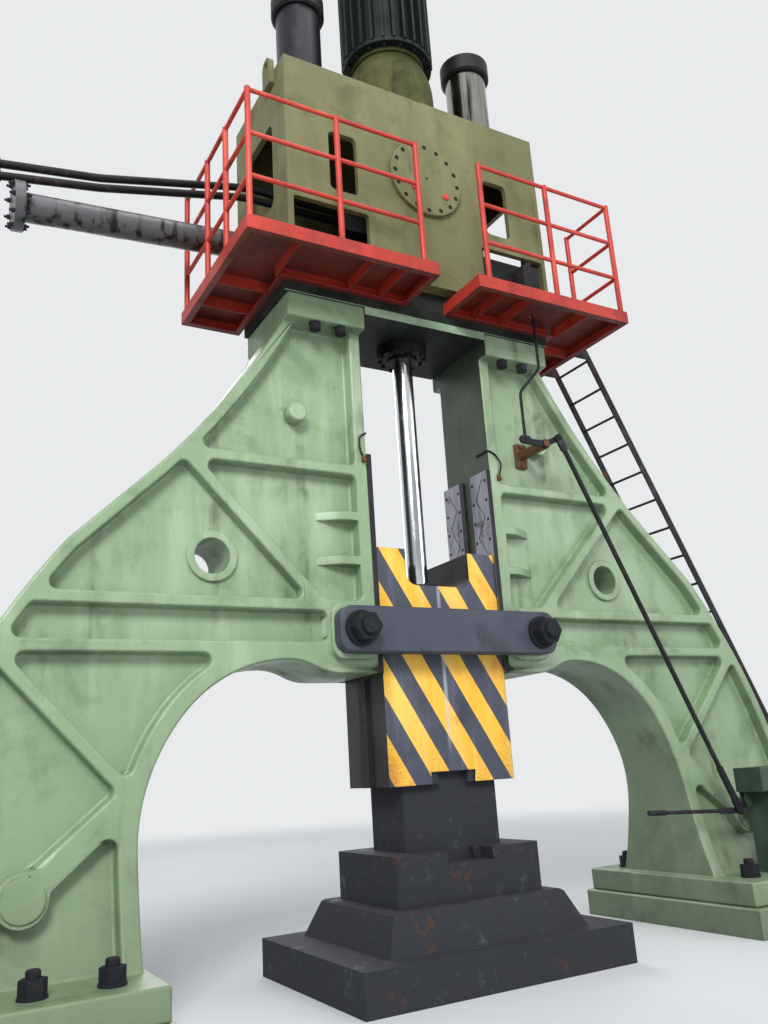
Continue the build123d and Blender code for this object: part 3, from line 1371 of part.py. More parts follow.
def deck(inner_x, hole_radius):
    """A deck plate on a frame of angle bars, with cross bars below, on the open part."""
    with BuildSketch(Plane.XY.offset(deck_top_z - deck_plate)) as plate:
        deck_shape(inner_x)
        if hole_radius:
            with Locations((spool_x, link_y)):
                Circle(hole_radius, mode=Mode.SUBTRACT)
    extrude(plate.sketch, amount=deck_plate)
    with BuildSketch(Plane.XY.offset(deck_bottom_z)) as webs:
        deck_shape(inner_x)
        offset(amount=-deck_web, kind=Kind.INTERSECTION, mode=Mode.SUBTRACT)
        for bar_x in deck_bars:
            with Locations((bar_x, (deck_front_y - beam_depth / 2) / 2)):
                Rectangle(deck_web, -beam_depth / 2 - deck_front_y - deck_web)
        for bar_y in deck_side_bars:
            with Locations(((deck_outer_x + beam_half_width) / 2, bar_y)):
                Rectangle(deck_outer_x - beam_half_width - deck_web, deck_web)
    extrude(webs.sketch, amount=deck_frame - deck_plate)
    with BuildSketch(Plane.XY.offset(deck_bottom_z)) as toes:
        deck_shape(inner_x)
        offset(amount=-deck_toe, kind=Kind.INTERSECTION, mode=Mode.SUBTRACT)
    extrude(toes.sketch, amount=deck_web)


# Work platforms round the head, bent round the corners of the crosshead
with BuildPart() as right_platform:
    deck(deck_right_inner_x, deck_hole_radius)
right_platform.part.label = "right_platform"
export_step(right_platform.part, "parts/right_platform.step")

with BuildPart() as left_platform:
    deck(-deck_left_inner_x, 0)
    mirror(about=Plane.YZ, mode=Mode.REPLACE)
left_platform.part.label = "left_platform"
export_step(left_platform.part, "parts/left_platform.step")


def tube(start, end, radius):
    """A straight round bar or tube on the open part."""
    run = Vector(*end) - Vector(*start)
    with BuildSketch(Plane(origin=start, z_dir=run)) as section:
        Circle(radius)
    extrude(section.sketch, amount=run.length, dir=run)


def railing(post_places, rail_runs):
    """Posts with three rails, on the open part."""
    for x, y in post_places:
        tube((x, y, deck_top_z), (x, y, deck_top_z + rail_height + rail_radius), post_radius)
    for height in (rail_low, rail_mid, rail_height):
        for (x0, y0), (x1, y1) in rail_runs:
            tube((x0, y0, deck_top_z + height), (x1, y1, deck_top_z + height), rail_radius)


# Tubular railings; the right one is open where the ladder arrives
with BuildPart() as left_railing:
    railing(left_posts, left_rails)
left_railing.part.label = "left_railing"
export_step(left_railing.part, "parts/left_railing.step")

with BuildPart() as right_railing:
    railing(right_posts, right_rails)
right_railing.part.label = "right_railing"
export_step(right_railing.part, "parts/right_railing.step")

# Sloping ladder from the floor to the right platform
with BuildPart() as ladder:
    for rail_y in (ladder_front_y, ladder_back_y):
        with BuildSketch(Plane.XZ.offset(-rail_y - ladder_rail_thickness / 2)):
            with BuildLine():
                Polyline(
                    (ladder_foot_x - ladder_half, 0),
                    (ladder_foot_x + ladder_half, 0),
                    (ladder_top_x + ladder_half, ladder_top_z),
                    (ladder_top_x - ladder_half, ladder_top_z),
                    close=True,
                )
            make_face()
        extrude(amount=ladder_rail_thickness)
        with Locations(((deck_outer_x + ladder_top_x) / 2, rail_y, ladder_top_z - ladder_arm_height)):
            Box(ladder_top_x - deck_outer_x, ladder_rail_thickness, ladder_arm_height)
        with Locations((ladder_foot_x, rail_y, ladder_shoe / 2)):
            Box(ladder_shoe_length, ladder_shoe_width, ladder_shoe)
    # rungs welded between the rails, each one a solid of its own
    for step in range(1, ladder_rungs + 1):
        rung_z = step * ladder_pitch
        rung_x = ladder_foot_x - rung_z / tan(ladder_lean)
        tube((rung_x, rung_front_y, rung_z), (rung_x, rung_back_y, rung_z), ladder_rung_radius)
ladder.part.label = "ladder"
export_step(ladder.part, "parts/ladder.step")

# Anvil block on the foundation and the anvil cap with its dovetail slot
with BuildPart() as anvil_block:
    with Locations((0, 0, anvil_base_height / 2)):
        Box(anvil_base_width, anvil_base_depth, anvil_base_height)
    with BuildSketch(Plane.XY.offset(anvil_base_height)):
        Rectangle(anvil_shoulder_width + 2 * anvil_spread, anvil_shoulder_depth + 2 * anvil_spread)
    with BuildSketch(Plane.XY.offset(anvil_block_height)):
        Rectangle(anvil_shoulder_width, anvil_shoulder_depth)
    loft()
    chamfer(anvil_block.faces().filter_by(Axis.Z).group_by(Axis.Z)[-1].edges(), anvil_chamfer)
anvil_block.part.label = "anvil_block"
export_step(anvil_block.part, "parts/anvil_block.step")


def dovetail(face_z, up, half_width, height):
    """A dovetail section on the open sketch, wider away from the face it starts at."""
    with BuildLine() as line:
        Polyline(
            (-half_width, face_z),
            (half_width, face_z),
            (half_width + shank_flare, face_z + up * height),
            (-half_width - shank_flare, face_z + up * height),
            close=True,
        )
    make_face(line.edges())


def dovetail_key(face_z, up):
    """The section of a key that fills one side of a dovetail slot, on the open sketch."""
    with BuildLine() as line:
        Polyline(
            (shank_half, face_z),
            (shank_half + key_width, face_z),
            (shank_half + key_width + shank_flare, face_z + up * shank_height),
            (shank_half + shank_flare, face_z + up * shank_height),
            close=True,
        )
    make_face(line.edges())
    mirror(about=Plane.YZ)


with BuildPart() as anvil_cap:
    with Locations((0, 0, (anvil_block_height + die_bottom_z) / 2)):
        Box(anvil_cap_width, anvil_cap_depth, die_bottom_z - anvil_block_height)
    chamfer(anvil_cap.edges().filter_by(Axis.Z), anvil_chamfer)
    with BuildSketch(Plane.XZ.offset(-anvil_cap_depth)):
        dovetail(die_bottom_z, -1, shank_half + key_width, shank_height)
    extrude(amount=2 * anvil_cap_depth, mode=Mode.SUBTRACT)
anvil_cap.part.label = "anvil_cap"
export_step(anvil_cap.part, "parts/anvil_cap.step")

# Dies, each held in its dovetail slot by two keys
with BuildPart() as lower_die:
    with Locations((0, 0, (die_bottom_z + die_parting_z) / 2)):
        Box(die_width, die_depth, lower_die_height)
    chamfer(lower_die.edges().filter_by(Axis.Z), die_chamfer)
    with BuildSketch(Plane.XZ.offset(-die_depth / 2)):
        dovetail(die_bottom_z, -1, shank_half, shank_height)
    extrude(amount=die_depth)
lower_die.part.label = "lower_die"
export_step(lower_die.part, "parts/lower_die.step")

with BuildPart() as lower_die_keys:
    with BuildSketch(Plane.XZ.offset(-key_length / 2)):
        dovetail_key(die_bottom_z, -1)
    extrude(amount=key_length)
lower_die_keys.part.label = "lower_die_keys"
export_step(lower_die_keys.part, "parts/lower_die_keys.step")

with BuildPart() as upper_die:
    with Locations((0, 0, (die_parting_z + ram_bottom_z) / 2)):
        Box(die_width, die_depth, upper_die_height)
    chamfer(upper_die.edges().filter_by(Axis.Z), die_chamfer)
    with BuildSketch(Plane.XZ.offset(-die_depth / 2)):
        dovetail(ram_bottom_z, 1, shank_half, shank_height)
    extrude(amount=die_depth)
upper_die.part.label = "upper_die"
export_step(upper_die.part, "parts/upper_die.step")

with BuildPart() as upper_die_keys:
    with BuildSketch(Plane.XZ.offset(-key_length / 2)):
        dovetail_key(ram_bottom_z, 1)
    extrude(amount=key_length)
upper_die_keys.part.label = "upper_die_keys"
export_step(upper_die_keys.part, "parts/upper_die_keys.step")

# Ram with its deep notch, the rod seat and the dovetail slot
with BuildPart() as ram:
    with BuildSketch(Plane.XZ.offset(-ram_depth / 2)):
        with Locations((0, (ram_bottom_z + ram_top_z) / 2)):
            Rectangle(ram_width, ram_top_z - ram_bottom_z)
        with Locations((0, (notch_bottom_z + ram_top_z + notch_radius) / 2)):
            RectangleRounded(2 * notch_half_width, notch_cut, notch_radius, mode=Mode.SUBTRACT)
        dovetail_slot = shank_half + key_width
        with Locations((0, ram_bottom_z + shank_height / 2)):
            Trapezoid(
                2 * (dovetail_slot + shank_flare),
                shank_height,
                degrees(atan2(shank_height, shank_flare)),
                rotation=180,
                mode=Mode.SUBTRACT,
            )
    extrude(amount=ram_depth)
    with BuildSketch(Plane.XY.offset(notch_bottom_z)):
        Circle(rod_radius)
    extrude(amount=-rod_seat_depth, mode=Mode.SUBTRACT)
ram.part.label = "ram"
export_step(ram.part, "parts/ram.step")

with BuildPart() as ram_guide_strips:
    with BuildSketch(Plane.XY.offset(ram_bottom_z)):
        with BuildLine():
            Polyline(
                (ram_width / 2, -strip_root_half),
                (ram_width / 2 + strip_height, -strip_tip_half),
                (ram_width / 2 + strip_height, strip_tip_half),
                (ram_width / 2, strip_root_half),
                close=True,
            )
        make_face()
        mirror(about=Plane.YZ)
    extrude(amount=ram_top_z - ram_bottom_z)
ram_guide_strips.part.label = "ram_guide_strips"
export_step(ram_guide_strips.part, "parts/ram_guide_strips.step")

# Rod with its collar on the ram, and the piston on the reduced upper end
with BuildPart() as piston_rod:
    with BuildSketch(Plane.XY.offset(notch_bottom_z - rod_seat_depth)):
        Circle(rod_radius)
    extrude(amount=piston_bottom_z - notch_bottom_z + rod_seat_depth)
    with BuildSketch(Plane.XY.offset(piston_bottom_z)):
        Circle(spigot_radius)
    extrude(amount=piston_height)
piston_rod.part.label = "piston_rod"
export_step(piston_rod.part, "parts/piston_rod.step")

with BuildPart() as rod_collar:
    with BuildSketch(Plane.XY.offset(notch_bottom_z)):
        Circle(rod_collar_radius)
        Circle(rod_radius, mode=Mode.SUBTRACT)
    extrude(amount=rod_collar_height)
    with BuildSketch(Plane.XY.offset(notch_bottom_z + rod_collar_height)):
        with PolarLocations((rod_collar_radius + rod_radius) / 2, collar_bolts_count):
            RegularPolygon(collar_bolt_across / 2, 6, major_radius=False)
    extrude(amount=collar_bolt_head)
rod_collar.part.label = "rod_collar"
export_step(rod_collar.part, "parts/rod_collar.step")

with BuildPart() as piston:
    with BuildSketch(Plane.XY.offset(piston_bottom_z)):
        Circle(bore_radius - piston_clearance)
        Circle(spigot_radius, mode=Mode.SUBTRACT)
    extrude(amount=piston_height)
piston.part.label = "piston"
export_step(piston.part, "parts/piston.step")

# Low-pressure return pipe on the left, with a bolted flange pair at its end
with BuildPart() as return_pipe:
    with BuildSketch(Plane(origin=return_start, z_dir=return_way)):
        Circle(return_radius)
    extrude(amount=return_way.length)
    with BuildSketch(Plane(origin=return_start, z_dir=return_way)):
        Circle(return_wall_radius)
    extrude(amount=return_flange + box_wall / 2)
    with BuildSketch(Plane(origin=return_end, z_dir=return_way)):
        Circle(return_flange_radius)
        with PolarLocations(return_bolt_circle, return_bolts_count):
            Circle(return_bolt_radius, mode=Mode.SUBTRACT)
    extrude(amount=return_flange, both=True)
    split(bisect_by=Plane.YZ.offset(-box_half), keep=Keep.BOTTOM)
return_pipe.part.label = "return_pipe"
export_step(return_pipe.part, "parts/return_pipe.step")

with BuildPart() as pipe_flange_bolts:
    with BuildSketch(Plane(origin=return_end, z_dir=return_way)):
        with PolarLocations(return_bolt_circle, return_bolts_count):
            Circle(return_bolt_radius)
    extrude(amount=return_flange + return_bolt_tail, both=True)
    with BuildSketch(Plane(origin=return_end + return_unit * return_flange, z_dir=return_way)):
        with PolarLocations(return_bolt_circle, return_bolts_count):
            RegularPolygon(return_bolt_across / 2, 6, major_radius=False)
    extrude(amount=return_bolt_tail / 2)
    with BuildSketch(Plane(origin=return_end - return_unit * return_flange, z_dir=-return_way)):
        with PolarLocations(return_bolt_circle, return_bolts_count):
            RegularPolygon(return_bolt_across / 2, 6, major_radius=False)
    extrude(amount=return_bolt_tail / 2)
pipe_flange_bolts.part.label = "pipe_flange_bolts"
export_step(pipe_flange_bolts.part, "parts/pipe_flange_bolts.step")

# Two bent steel pressure pipes from the manifold out through the side opening
with BuildPart() as pressure_pipes:
    for route in (upper_pipe_route, lower_pipe_route):
        with BuildLine() as pipe_line:
            FilletPolyline(*route, radius=pipe_bend)
        with BuildSketch(Plane(origin=pipe_line.line @ 0, z_dir=pipe_line.line % 0)):
            Circle(pipe_radius)
        sweep(path=pipe_line.line)
pressure_pipes.part.label = "pressure_pipes"
export_step(pressure_pipes.part, "parts/pressure_pipes.step")

with BuildPart() as pipe_unions:
    for route in (upper_pipe_route, lower_pipe_route):
        end = Vector(*route[-1])
        away = (end - Vector(*route[-2])).normalized()
        with BuildSketch(Plane(origin=end, z_dir=away)):
            RegularPolygon(union_across / 2, 6, major_radius=False)
        extrude(amount=union_length)
pipe_unions.part.label = "pipe_unions"
export_step(pipe_unions.part, "parts/pipe_unions.step")

# Bracket bolted in the pocket of the right column, with the rocker's pivot pin
with BuildPart() as rocker_bracket:
    with BuildSketch(Plane.XZ.offset(pocket_floor_y)):
        with Locations((rocker_x, rocker_z)):
            RectangleRounded(bracket_width, bracket_height, bracket_corner)
    extrude(amount=bracket_base)
    with BuildSketch(Plane.XZ.offset(pocket_floor_y + bracket_base)):
        with Locations((rocker_x, rocker_z - bracket_bolt_z), (rocker_x, rocker_z + bracket_bolt_z)):
            RegularPolygon(bracket_bolt_across / 2, 6, major_radius=False)
    extrude(amount=bracket_bolt_head)
    with BuildSketch(Plane.XZ.offset(pocket_floor_y)):
        with Locations((rocker_x, rocker_z)):
            RectangleRounded(bracket_post, bracket_post, bracket_corner)
    extrude(amount=-plate_y - link_plate / 2 - link_gap - pocket_floor_y)
    with BuildSketch(Plane.XZ.offset(pocket_floor_y)):
        with Locations((rocker_x, rocker_z)):
            Circle(pivot_radius)
    extrude(amount=-plate_y + link_plate / 2 + link_gap - pocket_floor_y)
    with BuildSketch(Plane.XZ.offset(-plate_y + link_plate / 2 + link_gap)):
        with Locations((rocker_x, rocker_z)):
            Circle(pivot_radius + pivot_lip)
    extrude(amount=pivot_lip)
rocker_bracket.part.label = "rocker_bracket"
export_step(rocker_bracket.part, "parts/rocker_bracket.step")


def link_bar(start, end, width):
    """A flat bar with round ends on the open sketch, from one pin to the next."""
    run = Vector(*end) - Vector(*start)
    middle = (Vector(*end) + Vector(*start)) / 2
    with Locations(Location((middle.X, middle.Y), degrees(atan2(run.Y, run.X)))):
        SlotOverall(run.length + width, width)


# Rocker with its two pins: one for the push rod, one for the valve rod
with BuildPart() as rocker:
    with BuildSketch(Plane.XZ.offset(-plate_y - link_plate / 2)):
        link_bar((rocker_x, rocker_z), rocker_pin, rocker_width)
        link_bar((rocker_x, rocker_z), pull_pin, rocker_width)
        with Locations((rocker_x, rocker_z)):
            Circle(rocker_hub_radius)
            Circle(pivot_radius + moving_clearance, mode=Mode.SUBTRACT)
    extrude(amount=link_plate)
    with BuildSketch(Plane.XZ.offset(-plate_y)):
        with Locations(rocker_pin, pull_pin):
            Circle(link_pin_radius)
    extrude(amount=link_pin_length)
rocker.part.label = "rocker"
export_step(rocker.part, "parts/rocker.step")

# Push rod between the lever and the rocker
with BuildPart() as push_rod:
    with BuildSketch(Plane.XZ.offset(-link_y - rod_eye / 2)):
        link_bar(foot_pin, (foot_flat.X, foot_flat.Z), 2 * rod_eye_radius)
        link_bar(rocker_pin, (head_flat.X, head_flat.Z), 2 * rod_eye_radius)
    extrude(amount=rod_eye)
    tube(push_start, push_end, push_rod_radius)
    tube(push_start, push_collar, push_thick_radius)
    with BuildSketch(Plane.XZ.offset(-link_y - push_thick_radius)):
        with Locations(rocker_pin):
            Circle(link_pin_radius + link_pin_room)
        with Locations(foot_pin):
            Circle(link_pin_radius + moving_clearance)
    extrude(amount=2 * push_thick_radius, mode=Mode.SUBTRACT)
push_rod.part.label = "push_rod"
export_step(push_rod.part, "parts/push_rod.step")

# Hand lever: a cranked flat bar with a pin for the push rod and a round handle
with BuildPart() as hand_lever:
    with BuildSketch(Plane.XZ.offset(-plate_y - link_plate / 2)):
        link_bar(lever_hub, foot_pin, rocker_width)
        link_bar(foot_pin, (handle_root.X, handle_root.Z), rocker_width)
        with Locations(lever_hub):
            Circle(rocker_hub_radius)
            Circle(pivot_radius + moving_clearance, mode=Mode.SUBTRACT)
    extrude(amount=link_plate)
    with BuildSketch(Plane.XZ.offset(-plate_y)):
        with Locations(foot_pin):
            Circle(link_pin_radius)
    extrude(amount=link_pin_length)
    tube(handle_start, handle_grip, handle_radius)
    tube(handle_grip, handle_end, grip_radius)
hand_lever.part.label = "hand_lever"
export_step(hand_lever.part, "parts/hand_lever.step")

# Valve rod: a slotted eye on the rocker's pin, a joggle, and a straight end in the spool housing
with BuildPart() as valve_rod:
    with BuildSketch(Plane.XZ.offset(-link_y - rod_eye / 2)):
        with Locations(pull_pin):
            SlotOverall(valve_eye_length, 2 * rod_eye_radius)
    extrude(amount=rod_eye)
    with BuildLine() as valve_line:
        FilletPolyline(*valve_route, radius=valve_bend)
    with BuildSketch(Plane(origin=valve_line.line @ 0, z_dir=valve_line.line % 0)):
        Circle(valve_rod_radius)
    sweep(path=valve_line.line)
    with BuildSketch(Plane.XZ.offset(-link_y - push_thick_radius)):
        with Locations(pull_pin):
            SlotOverall(
                2 * (link_pin_radius + moving_clearance + valve_slot_room),
                2 * (link_pin_radius + moving_clearance),
            )
    extrude(amount=2 * push_thick_radius, mode=Mode.SUBTRACT)
valve_rod.part.label = "valve_rod"
export_step(valve_rod.part, "parts/valve_rod.step")

# Control pedestal on the foot flange: a sheet housing with two cheeks that carry the lever's pin
with BuildPart() as pedestal:
    with BuildSketch(Plane.XZ.offset(-pedestal_back_y)):
        with BuildLine():
            Polyline(*pedestal_profile, close=True)
        make_face()
    extrude(amount=pedestal_back_y - pedestal_front_y)
    chamfer(pedestal.faces().sort_by(Axis.Y)[0].edges(), pedestal_chamfer)
    with BuildSketch(Plane.XZ.offset(-pedestal_back_y + pedestal_wall)):
        with BuildLine():
            Polyline(*pedestal_room, close=True)
        make_face()
    extrude(amount=pedestal_back_y - pedestal_front_y - 2 * pedestal_wall, mode=Mode.SUBTRACT)
    for cheek_y in (cheek_front_y, cheek_back_y):
        with BuildSketch(Plane.XZ.offset(-cheek_y - cheek_thickness / 2)):
            with Locations((lever_hub[0], (lever_hub[1] + pedestal_step_z) / 2)):
                Rectangle(2 * cheek_half, pedestal_step_z - lever_hub[1])
            with Locations(lever_hub):
                Circle(cheek_half)
        extrude(amount=cheek_thickness)
    with BuildSketch(Plane.XZ.offset(-cheek_back_y - cheek_thickness / 2)):
        with Locations(lever_hub):
            Circle(pivot_radius)
    extrude(amount=cheek_back_y - cheek_front_y + cheek_thickness)
pedestal.part.label = "pedestal"
export_step(pedestal.part, "parts/pedestal.step")
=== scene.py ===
# %% [markdown]
# # A hydraulic forging hammer
# The hammer stands more than eight metres high. Two ribbed iron columns carry a steel head, a
# striped ram slides between them, and a valve linkage runs down the right column to a hand lever.
# The solids come ready made, in metres, with every part in its place. This lesson gives them their
# finishes and adds what a solid model leaves out: soft casting edges, weld beads, threads, tread
# plate, grease pipes and the painted stripes.

# %% Load the solids
from math import atan2, ceil, cos, hypot, pi, radians, sin

import bmesh
import bpy
import numpy as np
from mathutils import Matrix, Vector


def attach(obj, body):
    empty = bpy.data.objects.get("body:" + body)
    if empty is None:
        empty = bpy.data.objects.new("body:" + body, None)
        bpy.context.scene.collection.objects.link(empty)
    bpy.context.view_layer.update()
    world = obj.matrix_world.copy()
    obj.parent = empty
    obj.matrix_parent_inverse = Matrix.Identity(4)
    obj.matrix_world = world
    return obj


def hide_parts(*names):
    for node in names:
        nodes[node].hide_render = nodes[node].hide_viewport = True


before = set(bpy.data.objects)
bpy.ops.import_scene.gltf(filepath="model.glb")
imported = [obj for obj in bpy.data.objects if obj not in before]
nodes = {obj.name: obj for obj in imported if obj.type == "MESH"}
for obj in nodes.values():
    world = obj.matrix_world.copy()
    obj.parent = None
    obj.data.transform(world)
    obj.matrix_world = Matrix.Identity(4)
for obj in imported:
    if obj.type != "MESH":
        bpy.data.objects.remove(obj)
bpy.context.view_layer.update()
scene = bpy.context.scene

# %% [markdown]
# ## Camera
# The picture is taken from the floor, left of the machine and looking up, so the columns lean
# together. A camera could be aimed with a Track To constraint. Writing its matrix from a heading, a
# tilt and a small roll keeps the hand-held lean, and needs nothing else in the scene.

# %% Camera
camera_place = Vector((-3.458, -5.515, 1.312))
heading, tilt, roll = 0.52639, 0.28119, -0.06295
picture_height, focal_pixels, sensor_height = 1024, 884.49, 36.0

ahead = Vector((sin(heading) * cos(tilt), cos(heading) * cos(tilt), sin(tilt)))
level = Vector((cos(heading), -sin(heading), 0))
upright = level.cross(ahead)
side = cos(roll) * level + sin(roll) * upright
top = cos(roll) * upright - sin(roll) * level
camera_turn = Matrix((side, top, -ahead)).transposed().to_4x4()

camera_data = bpy.data.cameras.new("camera")
camera_data.sensor_fit = "VERTICAL"
camera_data.sensor_height = sensor_height
camera_data.lens = focal_pixels / picture_height * sensor_height
camera_data.clip_end = 400
camera = bpy.data.objects.new("camera", camera_data)
camera.matrix_world = Matrix.Translation(camera_place) @ camera_turn
scene.collection.objects.link(camera)
scene.camera = camera
scene.view_settings.view_transform = "Standard"
print("camera lens:", round(camera_data.lens, 2), "mm")

# %% [markdown]
# ## Shader maths as plain Python
# A procedural finish is a long sum: base colour, plus blotches, minus dirt, times wear. Drawn by
# hand in the node editor that is a tangle of Math nodes. Here a small class wraps a socket, and the
# operators of Python add the Math nodes, so a finish reads like the sum it is.

# %% A socket that does arithmetic
class Wire:
    """An output socket of a shader tree. Arithmetic on it adds Math nodes to the tree."""

    def __init__(self, finish, socket):
        self.finish = finish
        self.socket = socket

    def maths(self, operation, *values):
        return self.finish.node("ShaderNodeMath", {"operation": operation}, values)

    def __add__(self, other):
        return self.maths("ADD", self, other)

    def __sub__(self, other):
        return self.maths("SUBTRACT", self, other)

    def __rsub__(self, other):
        return self.maths("SUBTRACT", other, self)

    def __mul__(self, other):
        return self.maths("MULTIPLY", self, other)

    def __truediv__(self, other):
        return self.maths("DIVIDE", self, other)

    __radd__ = __add__
    __rmul__ = __mul__

    def size(self):
        return self.maths("ABSOLUTE", self)

    def fraction(self):
        return self.maths("FRACT", self)

    def larger(self, other):
        return self.maths("MAXIMUM", self, other)

    def smaller(self, other):
        return self.maths("MINIMUM", self, other)

    def rise(self, low, high):
        """0 below low, 1 above high and a smooth step between. It falls where low is above high."""
        if low > high:
            return 1 - self.rise(high, low)
        values = {"Value": self, "From Min": low, "From Max": high}
        return self.finish.node("ShaderNodeMapRange", {"interpolation_type": "SMOOTHSTEP"}, values)


print("a wire can also:", [name for name in vars(Wire) if not name.startswith("_")])

# %% [markdown]
# ## One class for every finish
# All the finishes need the same few things: the place on the object, noise at several scales, a
# blend of two colours, and a bump at the end. One method adds any node, given its type, its settings
# and its inputs, and the others are short cuts to it. Everything reads Object coordinates, in
# metres, so no surface has to be unwrapped and a blotch of ten centimetres is ten centimetres
# everywhere.

# %% A finish under construction
def rgb(red, green, blue):
    """A screen colour of 0 to 255 as the linear colour that the shader wants."""
    parts = [c / 255 for c in (red, green, blue)]
    return (*[c / 12.92 if c < 0.04045 else ((c + 0.055) / 1.055) ** 2.4 for c in parts], 1.0)


def find(sockets, key):
    """A socket by its number, its identifier or its name."""
    if isinstance(key, int):
        return sockets[key]
    return next(s for s in sockets if key == s.identifier or key == s.name)


class Finish:
    """A material, with one method that adds any kind of node and some short cuts to it."""

    def __init__(self, name):
        self.material = bpy.data.materials.new(name)
        self.material.use_nodes = True
        self.tree = self.material.node_tree
        self.shader = self.tree.nodes["Principled BSDF"]
        self.place = self.node("ShaderNodeTexCoord", out="Object")
        self.normal = self.node("ShaderNodeNewGeometry", out="Normal")

    def feed(self, socket, value):
        """Links a wire to the socket, or sets a plain value on it."""
        if isinstance(value, Wire):
            self.tree.links.new(value.socket, socket)
        else:
            socket.default_value = value

    def node(self, kind, settings={}, values=(), out=0):
        node = self.tree.nodes.new(kind)
        for key, value in settings.items():
            setattr(node, key, value)
        for key, value in values.items() if isinstance(values, dict) else enumerate(values):
            self.feed(find(node.inputs, key), value)
        return Wire(self, find(node.outputs, out))

    def axis(self, name, of=None):
        """One coordinate of the place, or of another vector."""
        return self.node("ShaderNodeSeparateXYZ", {}, [of or self.place], name)

    def noise(self, scale, detail=4.0, roughness=0.6, twist=0.0, stretch=1.0, shift=(0, 0, 0)):
        """Soft noise about 0.5. stretch multiplies the height, so a small number draws it out."""
        place = self.place
        if stretch != 1.0:
            values = {"Vector": place, "Scale": (1.0, 1.0, stretch), "Location": shift}
            place = self.node("ShaderNodeMapping", {}, values)
        values = {
            "Vector": place,
            "Scale": scale,
            "Detail": detail,
            "Roughness": roughness,
            "Distortion": twist,
        }
        return self.node("ShaderNodeTexNoise", {}, values)

    def blend(self, below, above, factor):
        """The colour below where the factor is 0, and the one above where it is 1."""
        values = {"Factor_Float": factor, "A_Color": below, "B_Color": above}
        return self.node("ShaderNodeMix", {"data_type": "RGBA"}, values, "Result_Color")

    def corner(self, radius):
        """The normal as if every corner were rounded to this radius."""
        return self.node("ShaderNodeBevel", {"samples": 4}, {"Radius": radius})

    def edge(self, radius):
        """About 1 on a corner and 0 on the flat, from how far the rounded normal leans away."""
        normals = [self.corner(radius), self.normal]
        lean = self.node("ShaderNodeVectorMath", {"operation": "DOT_PRODUCT"}, normals, "Value")
        return (1 - lean).rise(0.02, 0.25)

    def done(
        self, colour, roughness, height, strength, distance=0.002, metallic=0.0, normal=None, **plain
    ):
        """Wires the finish up. height is a bump in units of distance, and plain holds constants."""
        bump = {"Height": height, "Strength": strength, "Distance": distance}
        if normal is not None:
            bump["Normal"] = normal
        feeds = {
            "Base Color": colour,
            "Roughness": roughness,
            "Metallic": metallic,
            "Normal": self.node("ShaderNodeBump", {}, bump),
        }
        for key, value in plain.items():
            feeds[key.replace("_", " ").title().replace("Ior", "IOR")] = value
        for key, value in feeds.items():
            self.feed(self.shader.inputs[key], value)
        return self.material


def dress(material, *names):
    """Gives the material to these solids."""
    for name in names:
        for slot in nodes[name].material_slots:
            slot.material = material
    print(material.name, "on", ", ".join(names))


print("a finish has:", [name for name in vars(Finish) if not name.startswith("_")])

# %% [markdown]
# ## Backdrop
# A studio shot of a machine needs a pale background with no horizon. A picture of a studio would do,
# but its shapes would show in the polished rod. So the camera, mirrors and glass see one pale
# colour, and every other ray sees a dim blue-white one, which fills the shadows a little.

# %% The pale world
pale, sky_light, sky_strength = rgb(232, 234, 236), (0.86, 0.93, 1.0, 1.0), 0.3
world = bpy.data.worlds.new("studio")
world.use_nodes = True
scene.world = world
sky = world.node_tree
rays = sky.nodes.new("ShaderNodeLightPath")
seen = rays.outputs["Is Camera Ray"]
for kind in ("Is Glossy Ray", "Is Transmission Ray"):
    seen_too = sky.nodes.new("ShaderNodeMath")
    seen_too.operation = "MAXIMUM"
    sky.links.new(seen, seen_too.inputs[0])
    sky.links.new(rays.outputs[kind], seen_too.inputs[1])
    seen = seen_too.outputs[0]
ambient = sky.nodes["Background"]
ambient.inputs["Color"].default_value = sky_light
ambient.inputs["Strength"].default_value = sky_strength
backdrop = sky.nodes.new("ShaderNodeBackground")
backdrop.inputs["Color"].default_value = pale
either = sky.nodes.new("ShaderNodeMixShader")
sky.links.new(seen, either.inputs[0])
sky.links.new(ambient.outputs[0], either.inputs[1])
sky.links.new(backdrop.outputs[0], either.inputs[2])
sky.links.new(either.outputs[0], sky.nodes["World Output"].inputs["Surface"])
print("world:", len(sky.nodes), "nodes")

# %% [markdown]
# ## Floor
# The machine stands on one large plane. A shadow catcher would hide the floor but needs a second
# picture behind it. Here the plane is real near the machine, where it takes the shadow, and fades
# with the distance into a plain glow of the backdrop's colour, so its far edge never shows.

# %% The floor
floor_half, floor_z = 60.0, -0.001
fade_start, fade_end = 7.0, 20.0
square = ((-1, -1), (1, -1), (1, 1), (-1, 1))

floor_mesh = bpy.data.meshes.new("floor")
corners = [(x * floor_half, y * floor_half, floor_z) for x, y in square]
floor_mesh.from_pydata(corners, [], [(0, 1, 2, 3)])
floor = bpy.data.objects.new("floor", floor_mesh)
scene.collection.objects.link(floor)

ground = Finish("pale_floor")
floor_rough = 0.85 + 0.1 * ground.noise(3.0)
floor_coat = ground.done(rgb(214, 216, 218), floor_rough, ground.noise(60.0), 0.1)
floor_mesh.materials.append(floor_coat)
from_centre = ground.node("ShaderNodeVectorMath", {"operation": "LENGTH"}, [ground.place], "Value")
near_floor = Wire(ground, ground.shader.outputs[0])
far_floor = ground.node("ShaderNodeEmission", {}, {"Color": pale})
parts = [from_centre.rise(fade_start, fade_end), near_floor, far_floor]
fade = ground.node("ShaderNodeMixShader", {}, parts)
ground.tree.links.new(fade.socket, ground.tree.nodes["Material Output"].inputs["Surface"])
print("floor:", 2 * floor_half, "m wide, fades out at", fade_end, "m")

